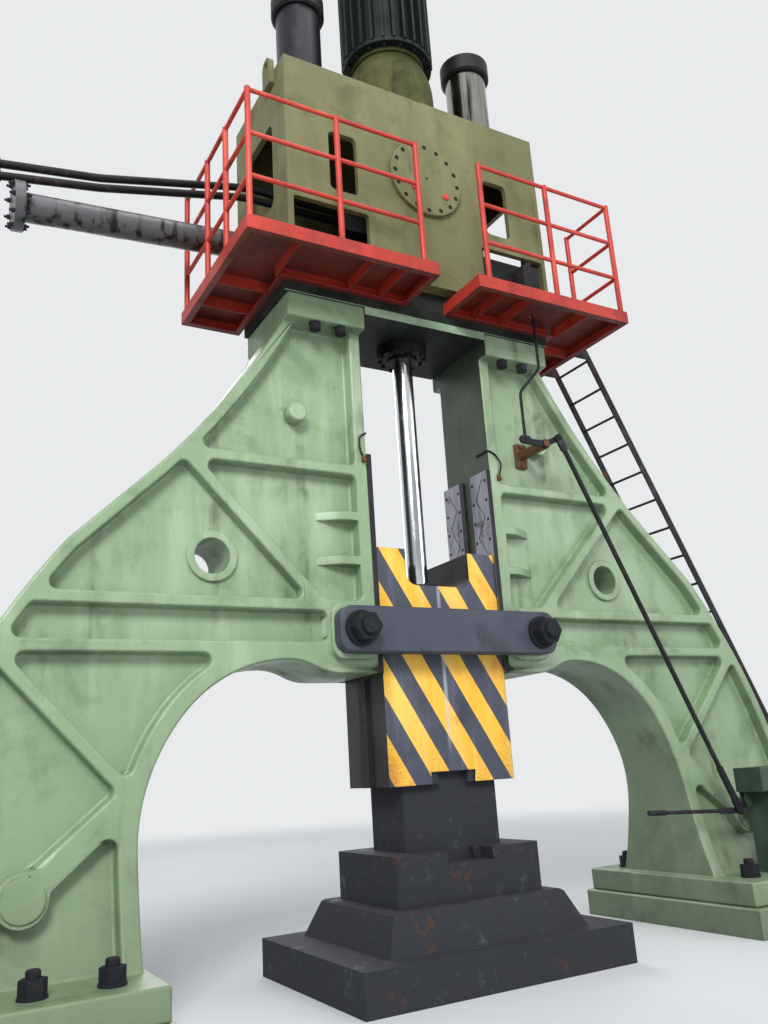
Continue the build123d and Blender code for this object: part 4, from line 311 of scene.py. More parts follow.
# %% [markdown]
# ## Light
# One strong lamp at the front left models the ribs, as the window side of a hall would. Weaker ones
# overhead, behind and at the right open the shadows. Area lamps several metres wide keep the edge of
# each shadow soft, and their strength is set so that a painted colour comes out about as written.

# %% The lamps
# name, place, the point it shines at, width in metres, power in watts
lamps = [
    ("overhead", (0.5, -3.0, 15.0), (0.0, 0.0, 4.0), 7.0, 500.0),
    ("front_left", (-8.0, -12.0, 11.0), (-0.5, 0.0, 3.0), 5.0, 2300.0),
    ("front_right", (9.0, -9.0, 6.0), (0.5, 0.0, 3.0), 6.0, 300.0),
    ("behind", (3.0, 12.0, 9.0), (0.0, 0.0, 5.0), 8.0, 700.0),
]
for lamp_name, place, target, width, power in lamps:
    lamp_data = bpy.data.lights.new(lamp_name, "AREA")
    lamp_data.size = width
    lamp_data.energy = power
    lamp = bpy.data.objects.new(lamp_name, lamp_data)
    lamp_turn = (Vector(place) - Vector(target)).to_track_quat("Z", "Y")
    lamp.matrix_world = Matrix.LocRotScale(Vector(place), lamp_turn, None)
    scene.collection.objects.link(lamp)
print("lamps:", len(lamps), "with", sum(row[-1] for row in lamps), "W in all")

# %% [markdown]
# ## Soft edges on the castings
# A sand casting has no sharp edge: the pattern's corners are rounded and the paint rounds them
# further. The solid columns have sharp ones, so a copy of each gets a real bevel, which also catches
# the light where the ribs meet the pockets. A Bevel modifier on the raw mesh fails, because a flat
# face there is a fan of thin triangles and a bevel slides along them. So the bolt holes that other
# parts hide are closed first, each flat face becomes one polygon, and a few cuts keep every polygon
# free of holes. These helpers do that.

# %% Mending the mesh of a solid
hair = 1e-5


def fuse(shape):
    """Joins the loose triangles of a solid and drops what that leaves without a face."""
    bmesh.ops.remove_doubles(shape, verts=shape.verts, dist=hair)
    bmesh.ops.dissolve_degenerate(shape, dist=hair, edges=shape.edges)
    bmesh.ops.delete(shape, geom=[e for e in shape.edges if not e.link_faces], context="EDGES")
    bmesh.ops.delete(shape, geom=[v for v in shape.verts if not v.link_edges], context="VERTS")


def close_hole(shape, axis, centre, radius, reach):
    """Draws the rims of a bolt hole and of its mirror images together on their axis."""
    across = [i for i in range(3) if i != axis]
    for vert in shape.verts:
        offsets = [abs(vert.co[i]) - c for i, c in zip(across, centre)]
        if reach[0] < abs(vert.co[axis]) < reach[1] and hypot(*offsets) < radius:
            for i, c in zip(across, centre):
                vert.co[i] = c if vert.co[i] > 0 else -c


def cut_faces(shape, places):
    """Cuts every face at these distances across, and marks the cuts so that they stay."""
    for x in places:
        everything = shape.verts[:] + shape.edges[:] + shape.faces[:]
        cut = bmesh.ops.bisect_plane(
            shape, geom=everything, dist=hair, plane_co=(x, 0, 0), plane_no=(1, 0, 0)
        )
        for item in cut["geom_cut"]:
            if isinstance(item, bmesh.types.BMEdge):
                item.seam = True


print("points closer than", hair, "m are joined")

# %% [markdown]
# ## Round edges and smooth shading
# One width for all would swallow the small bosses, so boxes in space pick the edges that get a finer
# one. The rounded copy then needs smooth shading that still leaves broad faces flat: splitting its
# sharp edges would undo the bevel, while normals weighted by the size of each face keep both.

# %% Rounding the edges
sharp_angle = radians(30)


def within(edge, zones):
    """True where the middle of the edge lies in one of the boxes, mirrored in x and y."""
    middle = (edge.verts[0].co + edge.verts[1].co) / 2
    spot = (abs(middle.x), abs(middle.y), middle.z)
    return any(all(low < c < high for low, c, high in zip(lows, spot, highs)) for lows, highs in zones)


def round_edges(shape, width, segments, chosen):
    """Bevels the sharp edges that the test picks."""
    manifold = [e for e in shape.edges if e.is_manifold]
    sharp = [e for e in manifold if e.calc_face_angle() > sharp_angle and chosen(e)]
    bmesh.ops.bevel(
        shape,
        geom=sharp,
        offset=width,
        offset_type="OFFSET",
        segments=segments,
        profile=0.5,
        affect="EDGES",
        clamp_overlap=False,
        loop_slide=True,
    )
    return len(sharp)


def plain_mesh(source, name):
    """The object with its modifiers applied, as a new object with a mesh of its own."""
    bpy.context.view_layer.update()
    evaluated = source.evaluated_get(bpy.context.evaluated_depsgraph_get())
    mesh = bpy.data.meshes.new_from_object(evaluated)
    mesh.name = name
    piece = bpy.data.objects.new(name, mesh)
    scene.collection.objects.link(piece)
    bpy.data.objects.remove(source)
    return piece


def finished(shape, name, body, *replaced):
    """Turns the bmesh into a piece that rides on the body in place of the solids it replaces."""
    mesh = bpy.data.meshes.new(name)
    shape.to_mesh(mesh)
    shape.free()
    mesh.polygons.foreach_set("use_smooth", [True] * len(mesh.polygons))
    draft = bpy.data.objects.new(name + "_draft", mesh)
    scene.collection.objects.link(draft)
    weighted = draft.modifiers.new("weighted", "WEIGHTED_NORMAL")
    weighted.weight = 100
    piece = plain_mesh(draft, name)
    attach(piece, body)
    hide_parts(*replaced)
    return piece


print("an edge is sharp above", round(sharp_angle, 3), "radians")

# %% [markdown]
# ## The two columns
# The columns are mirror images, so one list of holes, cuts and boxes serves both. All of its numbers
# are distances from the middle of the machine. The edges at the foot of the pad behind the tie bar
# are too short for any bevel, and stay sharp.

# %% The two castings
stud_xs, stud_y = (2.33, 2.70, 3.07), 0.64
head_bolt_xs, head_bolt_y = (0.731, 0.933), 0.35
guide_bolt_ys, guide_bolt_zs = (0.1, 0.268), [1.998 + 0.156 * row for row in range(10)]
tie_bolt_axis, trunnion_x = (0.744, 2.194), 1.068
hole_boss_axis, lifting_boss_axis = (1.664, 2.677), (2.727, 0.775)
gusset_zs = (3.005, 2.69)

# the direction of a hole, its centre across that, and the radius and reach that hold its rims
hidden_holes = [(2, (x, stud_y), 0.05, (0.1, 0.5)) for x in stud_xs]
hidden_holes += [(2, (x, head_bolt_y), 0.035, (4.3, 4.7)) for x in head_bolt_xs]
hidden_holes += [(0, (y, z), 0.012, (0.5, 0.62)) for y in guide_bolt_ys for z in guide_bolt_zs]
hidden_holes += [(1, tie_bolt_axis, 0.06, (0.0, 0.5))]
casting_cuts = (trunnion_x, hole_boss_axis[0], 2.42, lifting_boss_axis[0], 3.1)


def around(axis, half, depths):
    """A box about an axis that runs from front to back."""
    x, z = axis
    return (x - half, depths[0], z - half), (x + half, depths[1], z + half)


fine_zones = [around(lifting_boss_axis, 0.17, (0.19, 0.7)), around(hole_boss_axis, 0.19, (0.0, 0.4))]
fine_zones += [((0.62, 0.15, z - 0.05), (0.98, 0.32, z + 0.05)) for z in gusset_zs]
sharp_zones = [((0.53, 0.295, 1.99), (0.915, 0.305, 2.40)), ((0.89, 0.19, 2.12), (0.92, 0.31, 2.46))]

# width in metres, segments, and the test that picks the edges
wide_edge = 0.018, 3, lambda e: not within(e, fine_zones + sharp_zones)
fine_edge = 0.006, 2, lambda e: within(e, fine_zones) and not within(e, sharp_zones)
flat_angle = radians(0.4)
castings = {}
for side_name, sign in (("left", -1), ("right", 1)):
    shape = bmesh.new()
    shape.from_mesh(nodes[side_name + "_column"].data)
    fuse(shape)
    for hole in hidden_holes:
        close_hole(shape, *hole)
    fuse(shape)
    cut_faces(shape, [sign * x for x in casting_cuts])
    bmesh.ops.dissolve_limit(
        shape, angle_limit=flat_angle, verts=shape.verts, edges=shape.edges, delimit={"SEAM"}
    )
    wide = round_edges(shape, *wide_edge)
    fine = round_edges(shape, *fine_edge)
    castings[side_name] = finished(shape, side_name + "_casting", "frame", side_name + "_column")
    print(side_name, "casting:", wide, "wide and", fine, "fine edges rounded")

# %% [markdown]
# ## Green paint on the iron castings
# The columns are rough iron, filled and brushed with many coats of machine green. The coat is glossy
# where it is new and chalky where it is rubbed, with long pale strokes and brown stains, and painted
# shade darkens the faces beside the ram and, more lightly, all that look inward or down. A single
# colour with one noise would look like plastic, so blotches of metres, strokes of decimetres and
# specks of millimetres are added one after another.

# %% Green paint
# the last two colours are painted shade; the x pair bounds the painted shade beside the ram
chip_brown, shade_green_black, underside_shade_black = rgb(66, 60, 54), rgb(34, 40, 32), rgb(26, 16, 14)
splash_zs, ram_shade_xs = (1.5, 0.1), (0.64, 0.58)


def enamel(
    name,
    colour,
    light,
    dark,
    stain,
    wear=0.5,
    dirt=0.5,
    low_dirt=0.0,
    gloss=0.4,
    corner=0.006,
    ram_and_arch_shade=0.0,
    underside_shade=0.0,
    shine=0.5,
):
    """Brushed enamel on metal: blotches, strokes, runs, chips and dirt that settles low.

    Painted shade darkens the faces beside the ram and all faces that look inward or down.
    """
    paint = Finish(name)
    cloud = paint.noise(0.55, 3.0, 0.5)
    blotch = paint.noise(2.6, 5.0, 0.62, 0.3)
    stroke = paint.noise(5.0, 4.0, 0.6, 0.2, 0.22)
    runs = paint.noise(7.0, 3.0, 0.55, 0.0, 0.06, (3.1, 0.7, 0.0))
    speck = paint.noise(46.0, 4.0, 0.7)
    shade = paint.blend(colour, light, ((cloud + stroke) * 0.5).rise(0.48, 0.66) * 0.8)
    shade = paint.blend(shade, dark, blotch.rise(0.5, 0.72) * (0.35 + 0.4 * dirt))
    soil = (runs.rise(0.56, 0.74) * blotch.rise(0.4, 0.62)).smaller(1.0)
    shade = paint.blend(shade, stain, soil * dirt)
    if low_dirt:
        low = paint.axis("Z").rise(*splash_zs) * (0.35 + blotch)
        shade = paint.blend(shade, stain, (low * low_dirt).smaller(0.9))
    chip = (paint.edge(corner * 1.6) * speck.rise(0.45, 0.62) + speck.rise(0.74, 0.78) * 0.7) * wear
    shade = paint.blend(shade, chip_brown, chip.smaller(1.0))
    shade = paint.blend(shade, dark, speck.rise(0.52, 0.7) * 0.16)
    # painted shade: dark on faces near the ram that look towards it, and on all that look inward or
    # down
    if ram_and_arch_shade:
        x = paint.axis("X")
        inward = (paint.axis("X", paint.normal) * x / x.size() * -1.0).rise(0.75, 0.97)
        near_ram = (x.size() + 0.03 * stroke).rise(*ram_shade_xs)
        # painted shade on the faces that look towards the ram
        film = inward * near_ram * (0.75 + 0.5 * blotch) * ram_and_arch_shade
        downward = paint.axis("Z", paint.normal).rise(-0.2, -0.8)
        inward_and_down_shade = inward.larger(downward) * (0.3 + 0.7 * blotch) * ram_and_arch_shade * 0.55
        shade = paint.blend(shade, shade_green_black, film.larger(inward_and_down_shade).smaller(0.93))
    # painted shade on every face that looks down
    if underside_shade:
        below = paint.axis("Z", paint.normal).rise(-0.1, -0.9) * underside_shade * (0.6 + 0.6 * blotch)
        shade = paint.blend(shade, underside_shade_black, below.smaller(0.95))
    rough = gloss + 0.22 * blotch.rise(0.35, 0.7) + 0.12 * speck + soil * 0.15
    relief = blotch * 2.0 + stroke * 1.2 + speck * 0.22 - chip * 0.5
    return paint.done(
        shade,
        rough.smaller(0.95),
        relief,
        0.5,
        0.004,
        normal=paint.corner(corner),
        specular_ior_level=shine,
    )


column_green = enamel(
    "column_green",
    rgb(136, 160, 126),
    rgb(166, 186, 156),
    rgb(92, 116, 86),
    rgb(70, 72, 48),
    wear=0.45,
    dirt=0.6,
    low_dirt=0.5,
    gloss=0.26,
    corner=0.012,
    # painted shade beside the ram and on faces that look inward or down
    ram_and_arch_shade=1.0,
)
dress(column_green, "left_sole_plate", "right_sole_plate")
for casting in castings.values():
    casting.data.materials.clear()
    casting.data.materials.append(column_green)

# %% [markdown]
# ## Yellow-green paint on the head
# The welded head wears an older, yellower green. Oil has run down its sides from the pumps on the
# roof, so the same recipe gets a stronger stain.

# %% Head and bell paint
head_olive = enamel(
    "head_olive",
    rgb(104, 104, 70),
    rgb(124, 124, 88),
    rgb(76, 78, 48),
    rgb(50, 46, 28),
    wear=0.5,
    dirt=0.9,
    gloss=0.42,
    shine=0.3,
)
bell_olive = enamel(
    "bell_olive",
    rgb(66, 68, 38),
    rgb(92, 92, 54),
    rgb(36, 40, 24),
    rgb(28, 24, 14),
    dirt=1.0,
    gloss=0.5,
    shine=0.15,
)
dress(head_olive, "head_box", "inspection_cover", "lifting_lugs")
dress(bell_olive, "bell_housing")

# %% [markdown]
# ## The crosshead
# The beam under the head sits in the shade of the platforms, so it is painted near black as painted
# shadow, except for the front of its lower edge, which was painted over with the columns. The height
# of the place chooses between the painted shadow and the green, and noise makes the line between
# them wander a little.

# %% Crosshead paint
paint_line_zs = (4.622, 4.612)
beam = Finish("beam_dark")
beam_height = beam.axis("Z") + 0.012 * beam.noise(6.0)
beam_blotch = beam.noise(3.0, 5.0, 0.6)
beam_speck = beam.noise(50.0, 3.0, 0.7)
# painted shadow of the platforms, near black with blotches
beam_shadow_black = beam.blend(rgb(24, 28, 26), rgb(46, 52, 46), beam_blotch.rise(0.4, 0.7))
beam_green = beam.blend(rgb(134, 158, 130), rgb(168, 190, 162), beam_blotch.rise(0.4, 0.65))
front_face = beam.axis("Y", beam.normal).rise(-0.5, -0.8)
lower_edge = beam_height.rise(*paint_line_zs) * front_face
beam_colour = beam.blend(beam_shadow_black, beam_green, lower_edge)
beam_colour = beam.blend(beam_colour, rgb(30, 30, 28), beam_speck.rise(0.58, 0.7) * 0.5)
beam_dark = beam.done(
    beam_colour,
    0.42 + 0.3 * beam_blotch,
    beam_blotch * 2.0 + beam_speck * 0.3,
    0.5,
    0.003,
    normal=beam.corner(0.006),
    specular_ior_level=0.2,
)
dress(beam_dark, "crosshead")

# %% [markdown]
# ## Plain painted steel
# Smaller parts wear one coat each: red platforms, rails and plugs, a near-black green motor, dark
# blue-grey tie bars, a green pedestal. A recipe for each would be exact but long, so they share the
# enamel, with their own colours and wear.

# %% Painted parts
deck_red = enamel(
    "deck_red",
    rgb(166, 44, 30),
    rgb(190, 62, 44),
    rgb(112, 28, 20),
    rgb(52, 26, 22),
    dirt=0.7,
    # painted shade under the deck
    underside_shade=0.8,
)
rail_red = enamel(
    "rail_red",
    rgb(180, 52, 36),
    rgb(206, 78, 56),
    rgb(130, 36, 26),
    rgb(66, 32, 26),
    wear=0.6,
    dirt=0.5,
    corner=0.003,
)
tie_blue = enamel(
    "tie_blue_grey",
    rgb(62, 67, 80),
    rgb(84, 89, 102),
    rgb(40, 43, 52),
    rgb(32, 31, 34),
    wear=0.35,
    dirt=0.6,
    gloss=0.42,
)
motor_green = enamel(
    "motor_green_black",
    rgb(12, 22, 20),
    rgb(24, 36, 32),
    rgb(6, 10, 9),
    rgb(16, 14, 10),
    wear=0.2,
    dirt=0.6,
    shine=0.2,
)
pedestal_green = enamel(
    "pedestal_green",
    rgb(46, 66, 54),
    rgb(64, 86, 72),
    rgb(30, 44, 36),
    rgb(40, 36, 26),
    wear=0.6,
    dirt=0.6,
)
plug_red = enamel(
    "plug_red",
    rgb(188, 46, 38),
    rgb(210, 70, 56),
    rgb(140, 30, 26),
    rgb(60, 30, 26),
    corner=0.003,
)
dress(deck_red, "left_platform", "right_platform")
dress(rail_red, "left_railing", "right_railing")
dress(tie_blue, "front_tie_bar", "rear_tie_bar")
dress(motor_green, "motor_housing", "fan_cowl")
dress(pedestal_green, "pedestal")
dress(plug_red, "cover_plugs")

# %% [markdown]
# ## Bare and oily metal
# Bolts, dies, guides and rods are bare steel in different states: scaled by heat, black with oil, or
# polished. One recipe mixes a metal with a film of oil and rust, and metallic follows the film,
# because oil and rust are not metals.

# %% Bare metal
rust_brown, pit_black = rgb(104, 66, 44), rgb(20, 20, 20)


def bare(
    name,
    colour,
    film,
    cover=0.5,
    rust=0.2,
    rough=0.4,
    metal=0.85,
    grain=60.0,
    bump=0.4,
    corner=0.004,
    shine=0.3,
):
    """Bare metal partly under a film of oil or scale, with some rust in it."""
    steel = Finish(name)
    patch = steel.noise(3.2, 5.0, 0.65, 0.4)
    fine = steel.noise(grain, 4.0, 0.7)
    flake = steel.noise(14.0, 5.0, 0.7, 0.6)
    film_mask = (patch * 0.6 + flake * 0.4).rise(0.62 - 0.3 * cover, 0.72 - 0.3 * cover)
    rust_mask = (flake * patch * 4.0).rise(1.35 - rust, 1.6 - rust) * (0.3 + rust)
    shade = steel.blend(colour, film, film_mask * 0.85)
    shade = steel.blend(shade, rust_brown, rust_mask)
    shade = steel.blend(shade, pit_black, fine.rise(0.55, 0.75) * 0.35)
    metallic = (metal * (1 - film_mask * 0.6) * (1 - rust_mask)).larger(0.0)
    roughness = rough + 0.25 * film_mask + 0.2 * rust_mask + 0.1 * fine
    return steel.done(
        shade,
        roughness.smaller(0.95),
        patch * 0.8 + flake * 0.6 + fine * 0.3,
        bump,
        0.003,
        metallic,
        steel.corner(corner),
        specular_ior_level=shine,
    )


fastener = bare("dark_fastener", rgb(58, 62, 70), rgb(26, 28, 34), 0.85, 0.12, 0.4)
dark_steel = bare("dark_steel", rgb(62, 64, 68), rgb(30, 31, 34), 0.8, 0.06, 0.4)
die_steel = bare("die_steel", rgb(72, 75, 82), rgb(44, 46, 52), 0.9, 0.08, 0.5, 0.5, 40.0, 0.6)
oily_black = bare("oily_black", rgb(28, 30, 34), rgb(10, 10, 12), 0.85, 0.03, 0.24, 0.4)
link_black = bare("link_black", rgb(40, 42, 46), rgb(24, 25, 28), 0.7, 0.15, 0.4, 0.3, corner=0.003)
brown_steel = bare("brown_steel", rgb(104, 74, 56), rgb(46, 38, 34), 0.5, 0.5, 0.5, 0.4)
dress(fastener, "foot_studs", "foot_nuts", "column_head_bolts", "guide_bolts")
dress(fastener, "tie_bolts", "tie_washers", "tie_nuts")
dress(fastener, "cover_bolts", "gland_bolts", "pipe_flange_bolts")
dress(dark_steel, "cylinder", "valve_block", "pressure_manifold", "oil_pump")
dress(dark_steel, "motor_rotor", "rod_collar", "piston")
dress(die_steel, "anvil_block", "anvil_cap", "lower_die", "lower_die_keys")
dress(die_steel, "upper_die", "upper_die_keys")
dress(oily_black, "gland_flange", "pressure_pipes", "pipe_unions")
dress(oily_black, "accumulator_caps", "ram_guide_strips")
dress(link_black, "ladder", "hand_lever", "push_rod", "rocker", "valve_rod")
dress(brown_steel, "rocker_bracket")

# %% [markdown]
# ## Guide rails
# The faces that the ram slides on are scraped bright and streaked with oil, and the rest of each
# rail is black. The sliding faces point across the machine and lie nearest to the ram, so the place
# and the normal pick them out.

# %% Guide rail finish
slide_xs = (0.52, 0.515)
guide = Finish("guide_bright")
guide_side = guide.axis("X", guide.normal).size().rise(0.9, 0.97)
guide_face = guide_side * guide.axis("X").size().rise(*slide_xs)
guide_run = guide.noise(9.0, 4.0, 0.6, 0.0, 0.12)
guide_patch = guide.noise(5.0, 5.0, 0.65)
guide_grain = guide.noise(120.0, 3.0, 0.7, 0.0, 0.1)
bright = guide.blend(rgb(150, 150, 160), rgb(96, 96, 106), guide_run.rise(0.42, 0.66))
bright = guide.blend(bright, rgb(36, 34, 36), guide_patch.rise(0.58, 0.72) * 0.7)
black = guide.blend(rgb(22, 22, 26), rgb(48, 48, 54), guide_patch.rise(0.45, 0.7))
guide_bright = guide.done(
    guide.blend(black, bright, guide_face),
    0.5 - 0.22 * guide_face + 0.2 * guide_patch,
    guide_grain + guide_patch,
    0.25,
    0.001,
    0.3 + 0.6 * guide_face,
    guide.corner(0.004),
)
dress(guide_bright, "left_guides", "right_guides")

# %% [markdown]
# ## Stripes on the ram
# Warning stripes run down to the right across the front and the back of the ram. They could be
# separate painted faces, but a sum of two coordinates gives a slanting scale, its fraction repeats,
# and a step turns it into stripes with a brushed edge. The sides and the notch stay dark oily steel,
# made darker still by painted shade.

# %% The edges of the stripes
stripe_pitch, stripe_slope, stripe_start, stripe_share = 0.524, 1.66, 0.424, 0.515
brush_blur = 0.006

ram = Finish("ram_stripes")
ram_x, ram_z = ram.axis("X"), ram.axis("Z")
wobble = ram.noise(3.0, 3.0) * 0.012 + ram.noise(60.0, 2.0) * 0.004
slanting = ram_z + stripe_slope * ram_x + wobble - stripe_start
# ten pitches more keep the scale above 0 over the whole ram
phase = ((slanting + 10 * stripe_pitch) / stripe_pitch).fraction()
stripe_end = phase.rise(stripe_share + brush_blur, stripe_share - brush_blur)
yellow_mask = phase.rise(0.004, 0.014) * stripe_end
print("stripes:", stripe_pitch, "m apart,", round(100 * stripe_share), "% yellow")

# %% [markdown]
# ## Colours of the ram
# Yellow and slate fade in long runs where oil and scale have gone down the face, one pale trail
# marks the middle below the rod, and soot gathers low and at the sides. They are laid over each
# other in the order in which they came to the ram, and every face that isn't painted takes dark
# steel, made darker still by painted shade.

# %% The painted ram
trail_x, trail_edges, trail_zs = -0.012, (0.022, 0.004), (1.35, 1.6)
soot_zs, soot_xs = (1.75, 1.15), (0.40, 0.5)

ram_face = ram.axis("Y", ram.normal).size().rise(0.7, 0.9)
ram_blotch = ram.noise(3.0, 5.0, 0.6)
ram_run = ram.noise(8.0, 4.0, 0.6, 0.0, 0.1)
ram_speck = ram.noise(60.0, 4.0, 0.7)
yellow = ram.blend(rgb(253, 192, 62), rgb(255, 208, 104), ram_run.rise(0.42, 0.66))
yellow = ram.blend(yellow, rgb(214, 134, 44), ram_blotch.rise(0.52, 0.72) * 0.6)
slate = ram.blend(rgb(72, 76, 90), rgb(98, 100, 114), ram_run.rise(0.45, 0.7) * 0.8)
slate = ram.blend(slate, rgb(52, 52, 62), ram_blotch.rise(0.5, 0.7) * 0.6)
# dark oily steel, made darker still as painted shade, for the sides and the notch
ram_steel_and_shade = ram.blend(rgb(30, 31, 35), rgb(15, 15, 18), ram_blotch.rise(0.4, 0.65))
ram_colour = ram.blend(slate, yellow, yellow_mask)
trail = (ram_x - trail_x).size().rise(*trail_edges) * ram_z.rise(*trail_zs) * ram_run.rise(0.3, 0.5)
ram_colour = ram.blend(ram_colour, rgb(196, 198, 206), trail * 0.55)
soot = ram_z.rise(*soot_zs) * 0.22 + ram_x.size().rise(*soot_xs) * 0.25
soot = (soot * ram_speck.rise(0.3, 0.6)).smaller(0.8)
ram_colour = ram.blend(ram_colour, rgb(52, 46, 44), soot)
scuff = ram_speck.rise(0.6, 0.68) * ram_blotch.rise(0.45, 0.6) * 0.7 + ram.edge(0.012) * 0.5
ram_colour = ram.blend(ram_colour, rgb(70, 68, 70), scuff.smaller(0.9))
ram_stripes = ram.done(
    ram.blend(ram_steel_and_shade, ram_colour, ram_face),
    0.36 + 0.2 * ram_blotch,
    ram_blotch + ram_speck * 0.3 + yellow_mask * 0.2,
    0.4,
    0.003,
    normal=ram.corner(0.008),
    specular_ior_level=0.3,
)
dress(ram_stripes, "ram")

# %% [markdown]
# ## Polished and plated metal
# The piston rod and the right bottle are polished, the left bottle has a dark gloss coat, and the
# return pipe is dull silver. A mirror shows mostly what stands round it, so these finishes only add
# faint rings, finger marks and dark streaks, which on the polished rod and bottle are partly painted
# reflection.

# %% Chrome, plated and glossy
def polished(name, colour, streak_and_reflection, rough, mark, metal=1.0, shine=0.5):
    """Polished metal with dull marks and faint dark streaks along it, partly painted reflection."""
    chrome = Finish(name)
    run = chrome.noise(16.0, 3.0, 0.5, 0.0, 0.04)
    cloud = chrome.noise(4.0, 4.0, 0.6)
    fine = chrome.noise(150.0, 2.0, 0.6, 0.0, 0.15)
    # the dark streaks are partly stains and partly painted reflection
    return chrome.done(
        chrome.blend(colour, streak_and_reflection, run.rise(0.5, 0.68) * mark),
        rough + 0.16 * cloud.rise(0.45, 0.75) + 0.06 * run,
        fine * 0.4 + cloud,
        0.12,
        0.001,
        metal,
        specular_ior_level=shine,
    )


rod_chrome = polished("rod_chrome", rgb(214, 216, 220), rgb(70, 72, 78), 0.1, 0.5)
bottle_chrome = polished("bottle_chrome", rgb(150, 148, 140), rgb(38, 36, 32), 0.14, 1.0)
bottle_blue = polished("bottle_blue_grey", rgb(17, 20, 27), rgb(8, 9, 12), 0.3, 0.6, 0.0, 0.35)
pipe_silver = polished("pipe_silver", rgb(92, 92, 94), rgb(32, 30, 28), 0.36, 1.0, 0.7)
dress(rod_chrome, "piston_rod")
dress(bottle_chrome, "right_accumulator")
dress(bottle_blue, "left_accumulator")
dress(pipe_silver, "return_pipe")

# %% [markdown]
# ## Small repeated parts
# Bolt heads, weld ripples and the lozenges of the tread plate repeat by the hundred. Copying objects
# in Python would work, but Geometry Nodes keep one small shape and a list of points: each point says
# where a copy goes and how it is turned. The result becomes a plain mesh, so that it can ride on a
# body.

# %% A node group that puts a shape on points
def new_repeater():
    """Node group: points with a turn each, one shape, one material."""
    group = bpy.data.node_groups.new("repeater", "GeometryNodeTree")
    keys = {}
    for title, kind in (
        ("Points", "NodeSocketGeometry"),
        ("Shape", "NodeSocketObject"),
        ("Coat", "NodeSocketMaterial"),
    ):
        socket = group.interface.new_socket(title, in_out="INPUT", socket_type=kind)
        keys[title] = socket.identifier
    group.interface.new_socket("Result", in_out="OUTPUT", socket_type="NodeSocketGeometry")
    start = group.nodes.new("NodeGroupInput")
    turn = group.nodes.new("GeometryNodeInputNamedAttribute")
    turn.data_type = "FLOAT_VECTOR"
    turn.inputs["Name"].default_value = "turn"
    shape = group.nodes.new("GeometryNodeObjectInfo")
    scatter = group.nodes.new("GeometryNodeInstanceOnPoints")
    solid = group.nodes.new("GeometryNodeRealizeInstances")
    coat = group.nodes.new("GeometryNodeSetMaterial")
    finish = group.nodes.new("NodeGroupOutput")
    for source, target in (
        (start.outputs["Points"], scatter.inputs["Points"]),
        (start.outputs["Shape"], shape.inputs["Object"]),
        (shape.outputs["Geometry"], scatter.inputs["Instance"]),
        (turn.outputs["Attribute"], scatter.inputs["Rotation"]),
        (scatter.outputs["Instances"], solid.inputs["Geometry"]),
        (solid.outputs["Geometry"], coat.inputs["Geometry"]),
        (start.outputs["Coat"], coat.inputs["Material"]),
        (coat.outputs["Geometry"], finish.inputs["Result"]),
    ):
        group.links.new(source, target)
    return group, keys


repeater, repeater_keys = new_repeater()
print("repeater:", len(repeater.nodes), "nodes")

# %% [markdown]
# ## Using the group
# A mesh of loose points carries the turns as an attribute, and a modifier puts the shape on them. A
# primitive could be the shape, but most of these parts are turned about an axis, so one helper makes
# a closed turned shape from a few rows of radius and height.

# %% Copies of a turned shape
def repeat(name, vertices, faces, places, material, slot, body="frame", smooth=False):
    """One piece from copies of a small shape. places holds pairs of a point and a turn."""
    shape_mesh = bpy.data.meshes.new(name + "_shape")
    shape_mesh.from_pydata(vertices, [], faces)
    shape_mesh.polygons.foreach_set("use_smooth", [smooth] * len(faces))
    shape = bpy.data.objects.new(name + "_shape", shape_mesh)
    scene.collection.objects.link(shape)
    host_mesh = bpy.data.meshes.new(name + "_points")
    host_mesh.from_pydata([point for point, turn in places], [], [])
    turns = np.array([turn for point, turn in places], dtype=np.float32)
    turn_attribute = host_mesh.attributes.new("turn", "FLOAT_VECTOR", "POINT")
    turn_attribute.data.foreach_set("vector", turns.ravel())
    host = bpy.data.objects.new(name + "_points", host_mesh)
    scene.collection.objects.link(host)
    modifier = host.modifiers.new("repeat", "NODES")
    modifier.node_group = repeater
    modifier[repeater_keys["Shape"]] = shape
    modifier[repeater_keys["Coat"]] = material
    piece = plain_mesh(host, name)
    bpy.data.objects.remove(shape)
    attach(piece, body)
    print(name, len(places), "copies,", len(piece.data.polygons), "faces")


def turned(rows, sides):
    """A closed shape turned about Z from rows of (radius, height), both ends on the axis."""
    vertices = [(0.0, 0.0, rows[0][1])]
    for radius, height in rows[1:-1]:
        angles = [2 * pi * (k + 0.5) / sides for k in range(sides)]
        vertices += [(radius * cos(a), radius * sin(a), height) for a in angles]
    vertices.append((0.0, 0.0, rows[-1][1]))
    last, bands = len(vertices) - 1, len(rows) - 3
    faces = []
    for k in range(sides):
        after = (k + 1) % sides
        faces.append((0, 1 + after, 1 + k))
        for band in range(bands):
            low, high = 1 + band * sides, 1 + (band + 1) * sides
            faces.append((low + k, low + after, high + after, high + k))
        faces.append((last - sides + k, last - sides + after, last))
    return vertices, faces


def bolt_shape(radius, height):
    """A hexagon head with a chamfered top, its foot just below the face that it sits on."""
    sunk, shoulder, flat = -0.002, height * 0.8, radius * 0.84
    return turned([(0, sunk), (radius, sunk), (radius, shoulder), (flat, height), (0, height)], 6)


print("a bolt head has", len(bolt_shape(1, 1)[1]), "faces")

# %% [markdown]
# ## Bolts on the roof
# The bell stands on the roof with a ring of bolts through its foot, and a second ring under its top
# flange holds the motor. Round heads would need no turning, but hexagons show their flats, so each
# one is turned to its own angle on the ring.

# %% Bolts of the bell and the motor
motor_axis, bell_foot_z, bell_top_z = (0.0, -0.105), 6.6, 7.166
bell_ring, bell_count, motor_ring, motor_count = 0.390, 24, 0.347, 16


